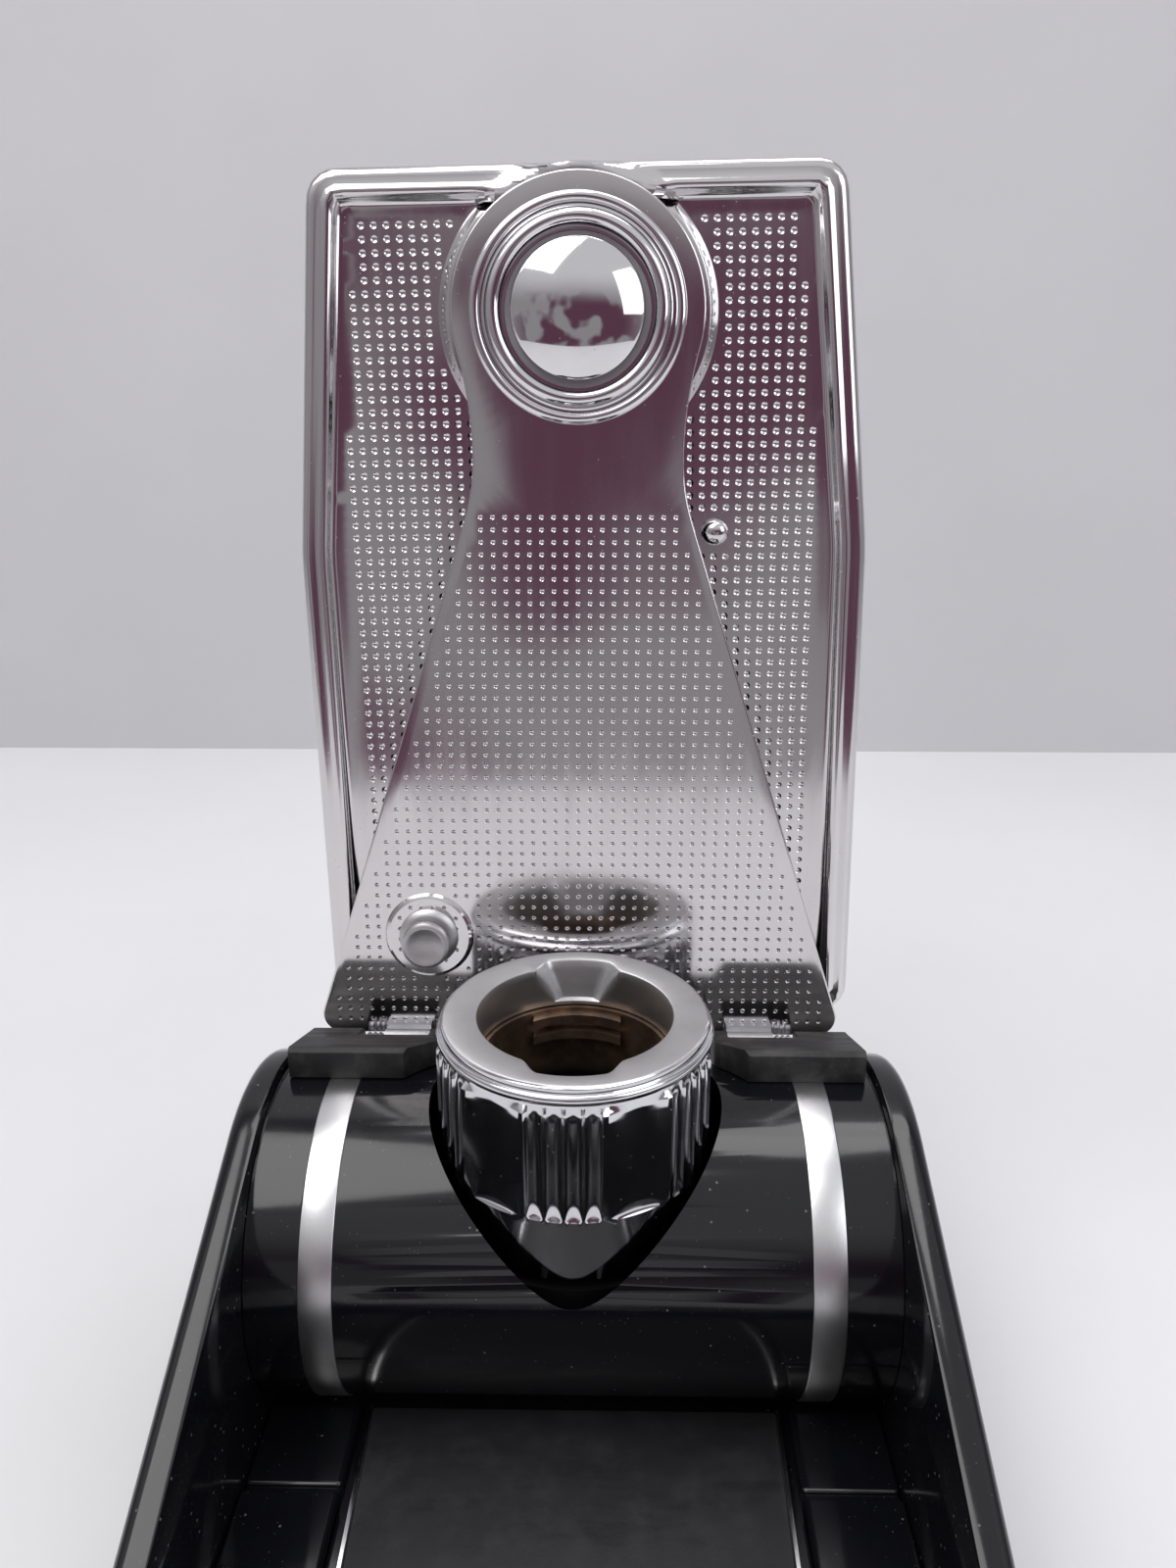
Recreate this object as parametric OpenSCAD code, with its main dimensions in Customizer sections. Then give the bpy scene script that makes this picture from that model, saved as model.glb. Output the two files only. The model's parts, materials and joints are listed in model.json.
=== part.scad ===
/* [Base] */
// Overall width of the base
base_w = 110; // [104:1:140]
// Overall length of the base, front to back
base_len = 154; // [140:1:200]
// Thickness of each side cheek
cheek_t = 5; // [4:0.5:8]
// Radius of the nose at the front
nose_r = 6; // [5:0.5:9]
// Height of the rear deck behind the drum
rear_deck_h = 38; // [34:0.5:40]
// Radius of the rear deck's edge
rear_edge_r = 8; // [5:0.5:10]
// Distance from the drum axis to the back of the base
rear_reach = 44; // [40:1:60]
// Wall of the moulded base
base_wall = 2.4; // [2:0.2:3]
// Height of the rubber feet below the base
foot_h = 2; // [1:0.5:4]
// Radius of a rubber foot
foot_r = 6; // [4:0.5:8]

/* [Trough] */
// Top of the trough's floor
floor_top = 8; // [7:0.5:12]
// Half width of the centre panel at the drum
panel_half_rear = 33; // [28:0.5:36]
// Half width of the centre panel at the nose
panel_half_front = 31; // [26:0.5:36]
// Thickness of the centre panel
panel_t = 1.2; // [0.8:0.1:2]
// Width of a trim strip
trim_w = 0.8; // [0.6:0.1:1.5]
// Height of a side deck above the trough's floor
deck_h = 3; // [2:0.5:4]
// Length of the side deck's rear step
deck_step_len = 15; // [10:1:20]

/* [Drum] */
// Outer radius of the drum
drum_r = 27; // [25:0.5:29]
// Height of the drum axis
drum_z = 31; // [30:0.5:34]
// Wall of the drum shell
drum_wall = 2.4; // [2:0.2:3]
// Radius of the side cheeks around the drum
cheek_r = 29; // [28:0.5:32]
// Distance from the centre to the inner edge of a band
band_inner_x = 36.3; // [30:0.1:40]
// Width of a band
band_w = 5.3; // [3:0.1:8]
// Thickness of a band
band_t = 0.9; // [0.5:0.1:1.2]
// How far a band stands out of the drum
band_proud = 0.15; // [0:0.05:0.3]

/* [Collar] */
// Outer radius of the twist collar
collar_r = 22.5; // [21:0.5:23]
// Height of the collar's rim
rim_z = 73.7; // [70:0.5:80]
// Radius of the collar's opening
mouth_r = 15.75; // [15:0.25:17]
// Depth of the collar's lip over the sleeve
lip_h = 7.4; // [5:0.2:10]
// Width of a mouth notch at the rim
notch_w = 15.6; // [10:0.2:18]
// Depth of a mouth notch
notch_deep = 2.4; // [1:0.2:3]
// Gap between the collar and the drum's opening
collar_gap = 1.5; // [1:0.25:2]
// How far the collar stands forward of the drum axis
collar_fwd = 2.4; // [1.9:0.1:3]
// Number of flutes in each of the six grip groups
flutes = 4; // [3:1:5]
// Radius of one flute
flute_r = 1.4; // [1:0.1:1.4]

/* [Socket] */
// Outer radius of the bronze sleeve
sleeve_r = 17.5; // [17:0.1:18]
// Bore radius of the sleeve at its threaded mouth
sleeve_bore_r = 15; // [14:0.25:15.5]
// Radius of the pilot bore that the post's spigot enters
pilot_r = 12.5; // [10:0.25:13]
// Depth of the pilot bore
pilot_h = 12; // [8:1:14]
// Inner radius of the thread lugs
lug_r = 13.3; // [13:0.1:14]
// Width of a thread lug
lug_w = 15; // [10:0.5:18]

/* [Arm] */
// Distance from the hinge axis up to the swivel pivot
pivot_h = 125; // [110:1:150]
// Backward lean of the arm at rest, in degrees
lean = 3.5; // [0:0.5:6]
// Thickness of the arm's sheet
arm_t = 1.2; // [1:0.1:2]
// Radius of the arm's round head
head_r = 20.1; // [19:0.1:22]
// Half width of the arm's neck
neck_half = 17.1; // [15:0.1:18]
// Distance of the neck below the pivot
neck_drop = 22; // [18:0.5:28]
// Angle at which the arm's sides flare, in degrees
flare_a = 17.9; // [14:0.1:18]
// Radius where the neck turns into the flare
neck_bend_r = 33; // [25:1:45]
// Radius of the arm's lower corners
arm_corner_r = 3.5; // [2:0.5:6]
// Distance of the index pin from the arm's centre line
index_x = 26.9; // [20:0.5:30]
// Distance of the index pin below the pivot
index_drop = 105; // [95:0.5:107]

/* [Hinge] */
// Distance of the hinge axis behind the drum axis
hinge_y = 17.5; // [16:0.5:20]
// Height of the hinge axis
hinge_z = 55.5; // [54:0.5:58]
// Radius of a hinge pin
hinge_pin_r = 1.25; // [1:0.05:1.5]
// Wall of a knuckle around its pin
knuckle_wall = 1.4; // [1:0.1:1.6]
// Overall width over the two brackets
brackets_w = 97; // [92:0.5:98]
// Height of a bracket's front face
bracket_top_z = 63.6; // [61:0.2:65]
// Width of the slot for a hinge leaf
leaf_w = 12; // [8:0.5:16]
// Distance of a leaf's middle from the centre
leaf_x = 33; // [31:0.5:36]

/* [Swivel plate] */
// Half width of the plate at its top
plate_half_top = 42.5; // [38:0.5:46]
// Half width of the plate below the kink
plate_half_low = 47.5; // [42:0.5:50]
// Height of the plate's top above the pivot
plate_rise = 22; // [21:0.5:30]
// Distance of the kink below the pivot
kink_drop = 39.7; // [30:0.5:50]
// Gap between the plate's lower edge and the hinge axis
plate_foot = 3; // [3:0.5:8]
// Radius of the plate's corners
plate_corner_r = 5; // [3:0.5:8]
// Thickness of the plate's sheet
plate_t = 1; // [0.8:0.1:1.5]
// Depth of the plate's side walls
plate_depth = 8.6; // [6:0.2:10]
// Width of the flat border round the recessed field
border_w = 5.5; // [4:0.25:8]
// Depth of the recessed field
field_deep = 1.2; // [0.8:0.1:2]
// Radius of the raised boss round the pivot
boss_r = 21.5; // [20.5:0.5:23]
// Turn of the plate away from the arm's line at rest, in degrees
rest_turn = 1; // [0:0.25:2]
// Radius of the stop bump
bump_r = 2.3; // [1.5:0.1:3]
// Distance of the stop bump below the pivot
bump_drop = 34.3; // [33:0.5:60]

/* [Pivot] */
// Outer radius of the pivot's dress ring
ring_r = 17.1; // [16:0.1:18]
// Inner radius of the pivot's dress ring
ring_hole_r = 12.1; // [11.8:0.1:13]
// How far the dress ring stands out
ring_proud = 2.4; // [1.5:0.1:3]
// Radius of the domed button
button_r = 10.5; // [9:0.1:11]
// Height of the button's dome
dome_h = 2.4; // [1.5:0.1:4]
// Travel of the button
button_travel = 1.5; // [1:0.1:2]
// Radius of the hub's barrel
hub_r = 9; // [8:0.1:9.5]

/* [Clearances] */
// Radial clearance of a turning fit
run_gap = 0.05; // [0.02:0.01:0.1]
// Gap between parts that pass each other
pass_gap = 0.3; // [0.2:0.05:0.5]

/* [Hidden] */
$fn = 64;
fine = 0.01;

drum_y = base_len / 2 - rear_reach;
front_y = -(base_len - rear_reach);
inner_half = base_w / 2 - cheek_t;
shell_half = inner_half - pass_gap / 2;

// side outline of the base, seen along X, with the drum axis at y = 0
nose_y = front_y + nose_r;
slope_run = [-nose_y, drum_z - nose_r - foot_h];
slope_a = atan2(slope_run[1], slope_run[0]) + asin((cheek_r - nose_r) / norm(slope_run));
slope_n = [-sin(slope_a), cos(slope_a)];

// heights inside the base
cover_t = 2;
cover_top = foot_h + cover_t;
web_top = 34;
web_t = 3;
ballast_h = 9;
ballast_y = -8;
post_y_front = front_y + 24;
post_y_rear = rear_reach - 7;
post_x = inner_half - 7;
post_r = 3.4;
screw_r = 1.4;
screw_head_r = 2.6;
screw_head_h = 1.4;

// trough fittings
panel_y_rear = -19;
panel_y_front = front_y + 20;
deck_inner_x = panel_half_rear + trim_w + 1.2;
deck_gap = 1.5;

// socket and collar
collar_y = -collar_fwd;
sleeve_foot_z = web_top;
flange_h = 4.2;
flange_r = collar_r - 0.7;
flange_top = sleeve_foot_z + flange_h;
washer_t = 1;
collar_foot_z = flange_top + washer_t + 2 * pass_gap;
sleeve_top = rim_z - lip_h - pass_gap;
drum_hole_r = collar_r + collar_gap;
taper_top_z = 51;
grip_top_z = rim_z - 4.2;
grip_h = grip_top_z - taper_top_z;
flute_pitch = 7.3;
flank_deep = 0.55;
flank_half = sqrt(pow(collar_r, 2) - pow(collar_r - flank_deep, 2)) + 0.1;
pilot_floor_z = sleeve_foot_z + 2;
groove_z = 46;
groove_h = 1.6;
snap_t = 1;
lug_z = [sleeve_top - 5.2, sleeve_top - 2.2];
lug_t = 1.6;
ball_r = 1;
ball_at = 20.4;
detent_hole_h = 3.6;
sleeve_screw_at = 15.6;
sleeve_screw_turns = [0, 90, 180];

// hinge
knuckle_r = hinge_pin_r + knuckle_wall;
tangent_r = knuckle_r - 0.05;
bracket_x0 = collar_r + 1.5;
bracket_x1 = brackets_w / 2;
bracket_y0 = 2;
bracket_screw_y = 8;
chamfer = [5, 7];
leaf_t = 1.5;
leaf_rise = 2.4;
spring_room = 3.8;
bracket_screw_x = [29.5, 45];
bracket_screw_h = sqrt(pow(drum_r - drum_wall, 2) - pow(bracket_screw_y + screw_head_r, 2)) - screw_head_h;

// arm, measured back from its front face and down from the pivot
arm_face_y = 3;
upper_r = (neck_half * neck_half + neck_drop * neck_drop - head_r * head_r) / (2 * (head_r - neck_half));
upper_x = neck_half + upper_r;
upper_a = atan2(neck_drop, upper_x);
lower_x = neck_half + neck_bend_r;
arm_foot = 0.6;
arm_drop = pivot_h - arm_foot;
arm_hole_r = 11.6;

// plate, measured back from the arm's front face
washer_gap = 0.1;
pivot_washer_t = 0.6;
boss_face = arm_t + pivot_washer_t + 2 * washer_gap;
border_face = boss_face + 1;
field_face = border_face + field_deep;
plate_back = border_face + plate_depth;
plate_drop = pivot_h - plate_foot;
bump_reach = field_face + 0.2;
flare_half = neck_half + (bump_drop - neck_drop - neck_bend_r * tan(flare_a / 2)) * tan(flare_a);
bump_x = flare_half + bump_r + pass_gap;

// pivot stack
hub_face = 0.2;
stem_r = 4;
cap_foot = hub_face - button_travel - pass_gap;
back_washer_face = boss_face + plate_t + washer_gap;
back_washer_t = 1;
hub_clip_face = back_washer_face + back_washer_t + 2 * washer_gap;
hub_clip_t = 0.8;
hub_end = hub_clip_face + hub_clip_t + 1;
spring_pocket_r = 6.4;
spring_pocket_end = 3.6;
stem_end = hub_end + 1.6;

// index pin
plateau_r = 8;
plateau_h = 0.8;
index_travel = 1.8;
index_shank_r = 1.9;
index_bush_r = 3;
index_base_r = 5.3;
index_base_h = 1;
index_head_r = 4.25;
index_head_h = 1.6;
index_head_foot = -(plateau_h + index_base_h + index_travel + pass_gap);
index_tip = arm_t + 1;

// places the drum's own frame, with its axis along X at y = 0
module at_drum() translate([0, drum_y, 0]) children();

// places the collar's own frame, with its axis along Z
module at_collar() at_drum() translate([0, collar_y, 0]) children();

// places the arm's frame: x across, y back from the arm's front face, z up from the pivot
module at_pivot() at_drum() translate([0, hinge_y, hinge_z]) rotate([-lean, 0, 0])
    translate([0, arm_face_y, pivot_h]) children();

// places the plate's frame, which turns with it about the pivot
module at_plate() at_pivot() rotate([0, -rest_turn, 0]) children();

// a flat shape drawn in x and z, from depth y0 back to y1
module slab(y0, y1) translate([0, y1, 0]) rotate([90, 0, 0]) linear_extrude(y1 - y0) children();

// a cylinder about the y direction, from depth y0 back to y1
module rod_y(r, y0, y1) translate([0, y1, 0]) rotate([90, 0, 0]) cylinder(r = r, h = y1 - y0);

// a tube about the y direction
module tube_y(r_out, r_in, y0, y1) difference() {
    rod_y(r_out, y0, y1);
    rod_y(r_in, y0 - 1, y1 + 1);
}

// a tube about the z direction
module tube_z(r_out, r_in, z0, z1) translate([0, 0, z0]) difference() {
    cylinder(r = r_out, h = z1 - z0);
    translate([0, 0, -1]) cylinder(r = r_in, h = z1 - z0 + 2);
}

// a side outline drawn in y and z, extruded along x from x0 to x1
module across(x0, x1) translate([x0, 0, 0]) rotate([90, 0, 90]) linear_extrude(x1 - x0) children();

// a cylinder about the x direction
module rod_x(r, x0, x1) translate([x0, 0, 0]) rotate([0, 90, 0]) cylinder(r = r, h = x1 - x0);

// a coil spring along z with its foot at z = 0
module coil(r, wire, turns, h) {
    steps = 14 * turns;
    sides = 6;
    points = [for (i = [0:steps]) for (k = [0:sides - 1])
        let (a = 360 * turns * i / steps, b = 360 * k / sides, ring = r + wire * cos(b))
        [ring * cos(a), ring * sin(a), wire + (h - 2 * wire) * i / steps + wire * sin(b)]];
    walls = [for (i = [0:steps - 1]) for (k = [0:sides - 1])
        let (n = (k + 1) % sides)
        [i * sides + k, i * sides + n, (i + 1) * sides + n, (i + 1) * sides + k]];
    polyhedron(points, concat(walls, [[for (k = [sides - 1:-1:0]) k]],
        [[for (k = [0:sides - 1]) steps * sides + k]]));
}

// a countersunk-free pan screw along z, its head's face at z = 0 and its shank going up
module pan_screw(shank) {
    difference() {
        cylinder(r = screw_head_r, h = screw_head_h);
        for (turn = [0, 90]) rotate([0, 0, turn]) translate([-1.6, -0.35, -1]) cube([3.2, 0.7, 1.8]);
    }
    translate([0, 0, screw_head_h]) cylinder(r = screw_r, h = shank);
}

// outline points of a circular arc
function arc(c, r, a0, a1, n) =
    [for (i = [0:n]) let (a = a0 + (a1 - a0) * i / n) [c[0] + r * cos(a), c[1] + r * sin(a)]];

function mirrored(points) = [for (i = [len(points) - 1:-1:0]) [-points[i][0], points[i][1]]];

// ---- base -------------------------------------------------------------------------------------

module side_outline() {
    nose = [nose_y, foot_h + nose_r];
    drum = [0, drum_z];
    translate(nose) circle(r = nose_r);
    translate(drum) circle(r = cheek_r);
    translate([rear_reach - rear_edge_r, rear_deck_h - rear_edge_r]) circle(r = rear_edge_r);
    polygon([[nose_y, foot_h], nose, nose + nose_r * slope_n, drum + cheek_r * slope_n, drum,
        [0, rear_deck_h], [rear_reach - rear_edge_r, rear_deck_h],
        [rear_reach - rear_edge_r, rear_deck_h - rear_edge_r],
        [rear_reach, rear_deck_h - rear_edge_r], [rear_reach, foot_h]]);
}

module base_cheek() difference() {
    across(inner_half, base_w / 2) side_outline();
    translate([0, front_y - 1, -1]) cube([base_w, base_len + 2, foot_h + 1]);
}

module screw_posts() for (side = [-1, 1]) {
    translate([side * post_x, post_y_front, cover_top])
        cylinder(r = post_r, h = floor_top - cover_top - fine);
    translate([side * post_x, post_y_rear, cover_top])
        cylinder(r = post_r, h = rear_deck_h - base_wall - cover_top + fine);
}

module base_housing() color("#101114") at_drum() difference() {
    union() {
        base_cheek();
        mirror([1, 0, 0]) base_cheek();
        // solid nose bar between the cheeks
        intersection() {
            across(-inner_half - fine, inner_half + fine) side_outline();
            translate([-base_w, front_y, foot_h]) cube([2 * base_w, 18, 40]);
        }
        // floor of the trough
        translate([-inner_half - fine, front_y + 17, floor_top - base_wall])
            cube([2 * inner_half + 2 * fine, -front_y - 17 - 12.6, base_wall]);
        // front wall under the drum, the web that carries the socket, and the wall behind it
        translate([-inner_half - fine, -15, floor_top - base_wall])
            cube([2 * inner_half + 2 * fine, base_wall, web_top - floor_top + base_wall]);
        translate([-inner_half - fine, -22, web_top - web_t])
            cube([2 * inner_half + 2 * fine, 48, web_t]);
        // rear block
        difference() {
            intersection() {
                across(-inner_half - fine, inner_half + fine) side_outline();
                translate([-base_w, 24, foot_h]) cube([2 * base_w, rear_reach, rear_deck_h - foot_h]);
            }
            translate([-inner_half, 24 - 1, foot_h - 1])
                cube([2 * inner_half, rear_reach - 24 - base_wall + 1, web_top - web_t - foot_h + 1]);
        }
        screw_posts();
    }
    for (side = [-1, 1]) for (y = [post_y_front, post_y_rear])
        translate([side * post_x, y, 0])
            cylinder(r = screw_r, h = y < 0 ? floor_top - 0.8 : cover_top + 14);
    translate([0, collar_y, 0]) for (turn = sleeve_screw_turns) rotate([0, 0, turn])
        translate([sleeve_screw_at, 0, web_top - web_t - 1]) cylinder(r = screw_r + 0.1, h = web_t + 2);
    // clearance for the drum shell's ends and foot
    translate([0, 0, drum_z]) difference() {
        rod_x(drum_r + pass_gap, -shell_half - pass_gap / 2 + fine, shell_half + pass_gap / 2 - fine);
        rod_x(drum_r - drum_wall - pass_gap, -base_w, base_w);
        translate([-base_w, -base_w, -2 * base_w - (drum_z - floor_top + base_wall + fine)])
            cube([2 * base_w, 2 * base_w, 2 * base_w]);
    }
}

module band_ring(r_out, r_in) difference() {
    rod_x(r_out, band_inner_x, band_inner_x + band_w);
    rod_x(r_in, 0, base_w);
}

// keeps the stretch of drum that shows, from the trough's floor over the top to the rear deck
module drum_stretch() intersection() {
    children();
    union() {
        translate([-base_w, -base_w, floor_top + pass_gap - drum_z]) cube([2 * base_w, base_w, base_w]);
        translate([-base_w, -fine, rear_deck_h + pass_gap - drum_z]) cube([2 * base_w, base_w, base_w]);
    }
}

module drum_shell() color("#141519") at_drum() difference() {
    translate([0, 0, drum_z]) drum_stretch() difference() {
        rod_x(drum_r, -shell_half, shell_half);
        rod_x(drum_r - drum_wall, -base_w, base_w);
        for (side = [0, 1]) mirror([side, 0, 0])
            band_ring(drum_r + 1, drum_r + band_proud - band_t - run_gap);
    }
    translate([0, collar_y, web_top]) cylinder(r = drum_hole_r, h = 60);
    for (side = [-1, 1]) for (x = bracket_screw_x)
        translate([side * x, bracket_screw_y, drum_z]) cylinder(r = screw_r + 0.1, h = 60);
}

module left_band() color("#d9d9da") at_drum() translate([0, 0, drum_z]) mirror([1, 0, 0])
    drum_stretch() band_ring(drum_r + band_proud, drum_r + band_proud - band_t);

module right_band() color("#d9d9da") at_drum() translate([0, 0, drum_z])
    drum_stretch() band_ring(drum_r + band_proud, drum_r + band_proud - band_t);

module centre_panel() color("#2a2a2d") at_drum() translate([0, 0, floor_top])
    linear_extrude(panel_t) polygon([[-panel_half_rear, panel_y_rear], [panel_half_rear, panel_y_rear],
        [panel_half_front, panel_y_front], [-panel_half_front, panel_y_front]]);

module panel_trims() color("#e2e2e4") at_drum() for (side = [0, 1]) mirror([side, 0, 0])
    translate([0, 0, floor_top]) linear_extrude(panel_t + 0.5)
        polygon([[panel_half_rear, panel_y_rear], [panel_half_rear + trim_w, panel_y_rear],
            [panel_half_front + trim_w, panel_y_front], [panel_half_front, panel_y_front]]);

module side_deck() {
    deck_w = shell_half - deck_inner_x;
    step_y = panel_y_rear - deck_step_len;
    translate([deck_inner_x, step_y, floor_top]) cube([deck_w, deck_step_len, deck_h - 1]);
    translate([deck_inner_x, panel_y_front, floor_top])
        cube([deck_w, step_y - deck_gap - panel_y_front, deck_h]);
    translate([deck_inner_x, panel_y_front, floor_top])
        cube([deck_w, step_y - panel_y_front + 1, deck_h / 2]);
}

module right_deck() color("#17181d") at_drum() side_deck();

module left_deck() color("#17181d") at_drum() mirror([1, 0, 0]) side_deck();

// ---- underside --------------------------------------------------------------------------------

module bottom_cover() color("#1b1b1e") at_drum() difference() {
    translate([-shell_half, front_y + 18.3, foot_h])
        cube([2 * shell_half, base_len - 18.3 - base_wall - pass_gap, cover_t]);
    for (side = [-1, 1]) for (y = [post_y_front, post_y_rear])
        translate([side * post_x, y, foot_h - 1]) {
            cylinder(r = screw_r + 0.1, h = cover_t + 2);
            cylinder(r = screw_head_r + 0.1, h = screw_head_h + 0.6);
        }
    for (side = [-1, 1]) translate([side * 30, 14, foot_h - 1]) {
        cylinder(r = screw_r + 0.1, h = cover_t + 2);
        cylinder(r = screw_head_r + 0.1, h = screw_head_h + 0.6);
    }
}

module rubber_feet() color("#222222") at_drum() for (side = [-1, 1])
    for (y = [front_y + 36, rear_reach - 20]) translate([side * (post_x - 1), y, 0])
        cylinder(r = foot_r, h = foot_h);

module cover_screws() color("silver") at_drum() for (side = [-1, 1]) {
    translate([side * post_x, post_y_front, foot_h - 0.4]) pan_screw(3);
    translate([side * post_x, post_y_rear, foot_h - 0.4]) pan_screw(10);
}

module ballast_plate() color("#5d5f63") at_drum() difference() {
    translate([-post_x + post_r + 1, ballast_y, cover_top])
        cube([2 * (post_x - post_r - 1), rear_reach - base_wall - 1 - ballast_y, ballast_h]);
    for (side = [-1, 1]) translate([side * 30, 14, cover_top - 1]) cylinder(r = screw_r, h = ballast_h - 1);
}

module ballast_screws() color("silver") at_drum() for (side = [-1, 1])
    translate([side * 30, 14, foot_h - 0.4]) pan_screw(7);

// ---- socket -----------------------------------------------------------------------------------

module thread_lug(z) translate([0, 0, z]) intersection() {
    difference() {
        cylinder(r = sleeve_bore_r + 0.5, h = lug_t);
        translate([0, 0, -1]) cylinder(r = lug_r, h = lug_t + 2);
    }
    translate([-lug_w / 2, -30, -1]) cube([lug_w, 60, lug_t + 2]);
}

module socket_sleeve() color("#8a6a4a") at_collar() difference() {
    union() {
        difference() {
            union() {
                translate([0, 0, sleeve_foot_z]) cylinder(r = flange_r, h = flange_h);
                translate([0, 0, sleeve_foot_z]) cylinder(r = sleeve_r, h = sleeve_top - sleeve_foot_z);
            }
            translate([0, 0, pilot_floor_z]) cylinder(r = pilot_r, h = 60);
            translate([0, 0, pilot_floor_z + pilot_h]) cylinder(r = sleeve_bore_r, h = 60);
        }
        for (z = lug_z) thread_lug(z);
    }
    // groove for the snap ring
    translate([0, 0, groove_z + 0.2]) difference() {
        cylinder(r = sleeve_r + 1, h = groove_h - 0.4);
        translate([0, 0, -1]) cylinder(r = sleeve_r - 0.9, h = groove_h + 2);
    }
    translate([ball_at, 0, flange_top - detent_hole_h])
        cylinder(r = ball_r + run_gap, h = detent_hole_h + 1);
    for (turn = sleeve_screw_turns) rotate([0, 0, turn]) translate([sleeve_screw_at, 0, sleeve_foot_z - 1])
        cylinder(r = screw_r, h = flange_h + 5);
}

module sleeve_screws() color("silver") at_collar() for (turn = sleeve_screw_turns) rotate([0, 0, turn])
    translate([sleeve_screw_at, 0, web_top - web_t - screw_head_h]) pan_screw(web_t + 7);

module snap_ring() color("#9a9aa0") at_collar() difference() {
    tube_z(sleeve_r + 1.7, sleeve_r - 0.8, groove_z + pass_gap, groove_z + pass_gap + snap_t);
    translate([-1.5, 0, groove_z - 1]) cube([3, 30, 4]);
}

module thrust_washer() color("#b8b8bd") at_collar()
    tube_z(sleeve_r + 1.7, sleeve_r + 0.3, flange_top + pass_gap, flange_top + pass_gap + washer_t);

module detent_ball() color("silver") at_collar()
    translate([ball_at, 0, collar_foot_z - pass_gap - ball_r]) sphere(r = ball_r);

module detent_spring() color("silver") at_collar()
    translate([ball_at, 0, flange_top - detent_hole_h]) coil(0.75, 0.2, 3, detent_hole_h - 0.4);

// ---- collar -----------------------------------------------------------------------------------

// flat flanks and fluted grips alternate round the collar, with one grip at the front
module collar_grips() for (turn = [0:60:300]) rotate([0, 0, turn - 90]) {
    for (i = [0:flutes - 1]) rotate([0, 0, (i - (flutes - 1) / 2) * flute_pitch])
        translate([collar_r + flute_r / 2, 0, taper_top_z + 0.5]) cylinder(r = flute_r, h = grip_h - 1);
    rotate([0, 0, 30]) translate([collar_r - flank_deep, -flank_half, taper_top_z - 1.3])
        cube([5, 2 * flank_half, grip_h + 1]);
}

module twist_collar() color("#cfd0d4") at_collar() difference() {
    rotate_extrude() polygon([
        [sleeve_r + run_gap, collar_foot_z], [collar_r - 1.2, collar_foot_z],
        [collar_r - 0.35, taper_top_z - 3], [collar_r, taper_top_z],
        [collar_r, grip_top_z], [collar_r - 0.7, rim_z - 3.4], [collar_r - 0.7, rim_z - 2.7],
        [collar_r - 0.2, rim_z - 2.1], [collar_r - 0.2, rim_z - 0.9], [collar_r - 1.1, rim_z],
        [mouth_r, rim_z], [mouth_r, rim_z - lip_h], [sleeve_r + run_gap, rim_z - lip_h],
        [sleeve_r + run_gap, groove_z + groove_h], [sleeve_r + 2, groove_z + groove_h],
        [sleeve_r + 2, groove_z], [sleeve_r + run_gap, groove_z]]);
    collar_grips();
    // flared notches at the front and the back of the mouth
    for (side = [0, 1]) mirror([0, side, 0]) translate([0, mouth_r + notch_deep, rim_z])
        rotate([90, 0, 0]) linear_extrude(mouth_r)
            polygon([[-notch_w / 2, 1], [notch_w / 2, 1], [notch_w / 2, 0], [notch_w / 4, -lip_h + 0.6],
                [-notch_w / 4, -lip_h + 0.6], [-notch_w / 2, 0]]);
}

// ---- hinge ------------------------------------------------------------------------------------

module bracket_outline() {
    polygon([[bracket_y0, drum_z + 20], [bracket_y0, bracket_top_z - 0.6],
        [bracket_y0 + 1, bracket_top_z], [hinge_y + tangent_r * sin(21), hinge_z + tangent_r * cos(21)],
        [hinge_y, hinge_z], [hinge_y - 1, drum_z + 18]]);
}

module hinge_bracket() difference() {
    union() {
        across(bracket_x0, bracket_x1) bracket_outline();
        translate([0, hinge_y, hinge_z]) rod_x(knuckle_r, bracket_x0, bracket_x1);
    }
    translate([0, 0, drum_z]) rod_x(drum_r + band_proud + run_gap, 0, base_w);
    // chamfer beside the collar
    translate([bracket_x0, bracket_y0, 40]) linear_extrude(40)
        polygon([[-1, -1], [chamfer[0], -1], [chamfer[0], 0], [0, chamfer[1]], [-1, chamfer[1]]]);
    // slot for the hinge leaf
    translate([leaf_x - leaf_w / 2 - pass_gap, hinge_y - knuckle_r - 1.4, 40])
        cube([leaf_w + 2 * pass_gap, 20, 40]);
    translate([0, hinge_y, hinge_z]) rod_x(hinge_pin_r, 0, base_w);
    for (x = bracket_screw_x) translate([x, bracket_screw_y, drum_z + 20]) cylinder(r = screw_r, h = 9.5);
}

module right_bracket() color("#1c1c1f") at_drum() hinge_bracket();

module left_bracket() color("#1c1c1f") at_drum() mirror([1, 0, 0]) hinge_bracket();

module bracket_screws() color("silver") at_drum() for (side = [-1, 1]) for (x = bracket_screw_x)
    translate([side * x, bracket_screw_y, drum_z + bracket_screw_h])
        pan_screw(7);

module hinge_pins() color("#b0b0b5") at_drum() for (side = [0, 1]) mirror([side, 0, 0])
    translate([0, hinge_y, hinge_z]) rod_x(hinge_pin_r - run_gap, bracket_x0 + 1, bracket_x1 - 0.5);

module hinge_springs() color("#8f9096") at_drum() for (side = [0, 1]) mirror([side, 0, 0])
    translate([leaf_x + leaf_w / 2 - spring_room + 0.2, hinge_y, hinge_z]) rotate([0, 90, 0])
        coil(hinge_pin_r + 0.5, 0.3, 3, spring_room - 0.2);

// ---- arm --------------------------------------------------------------------------------------

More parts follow.
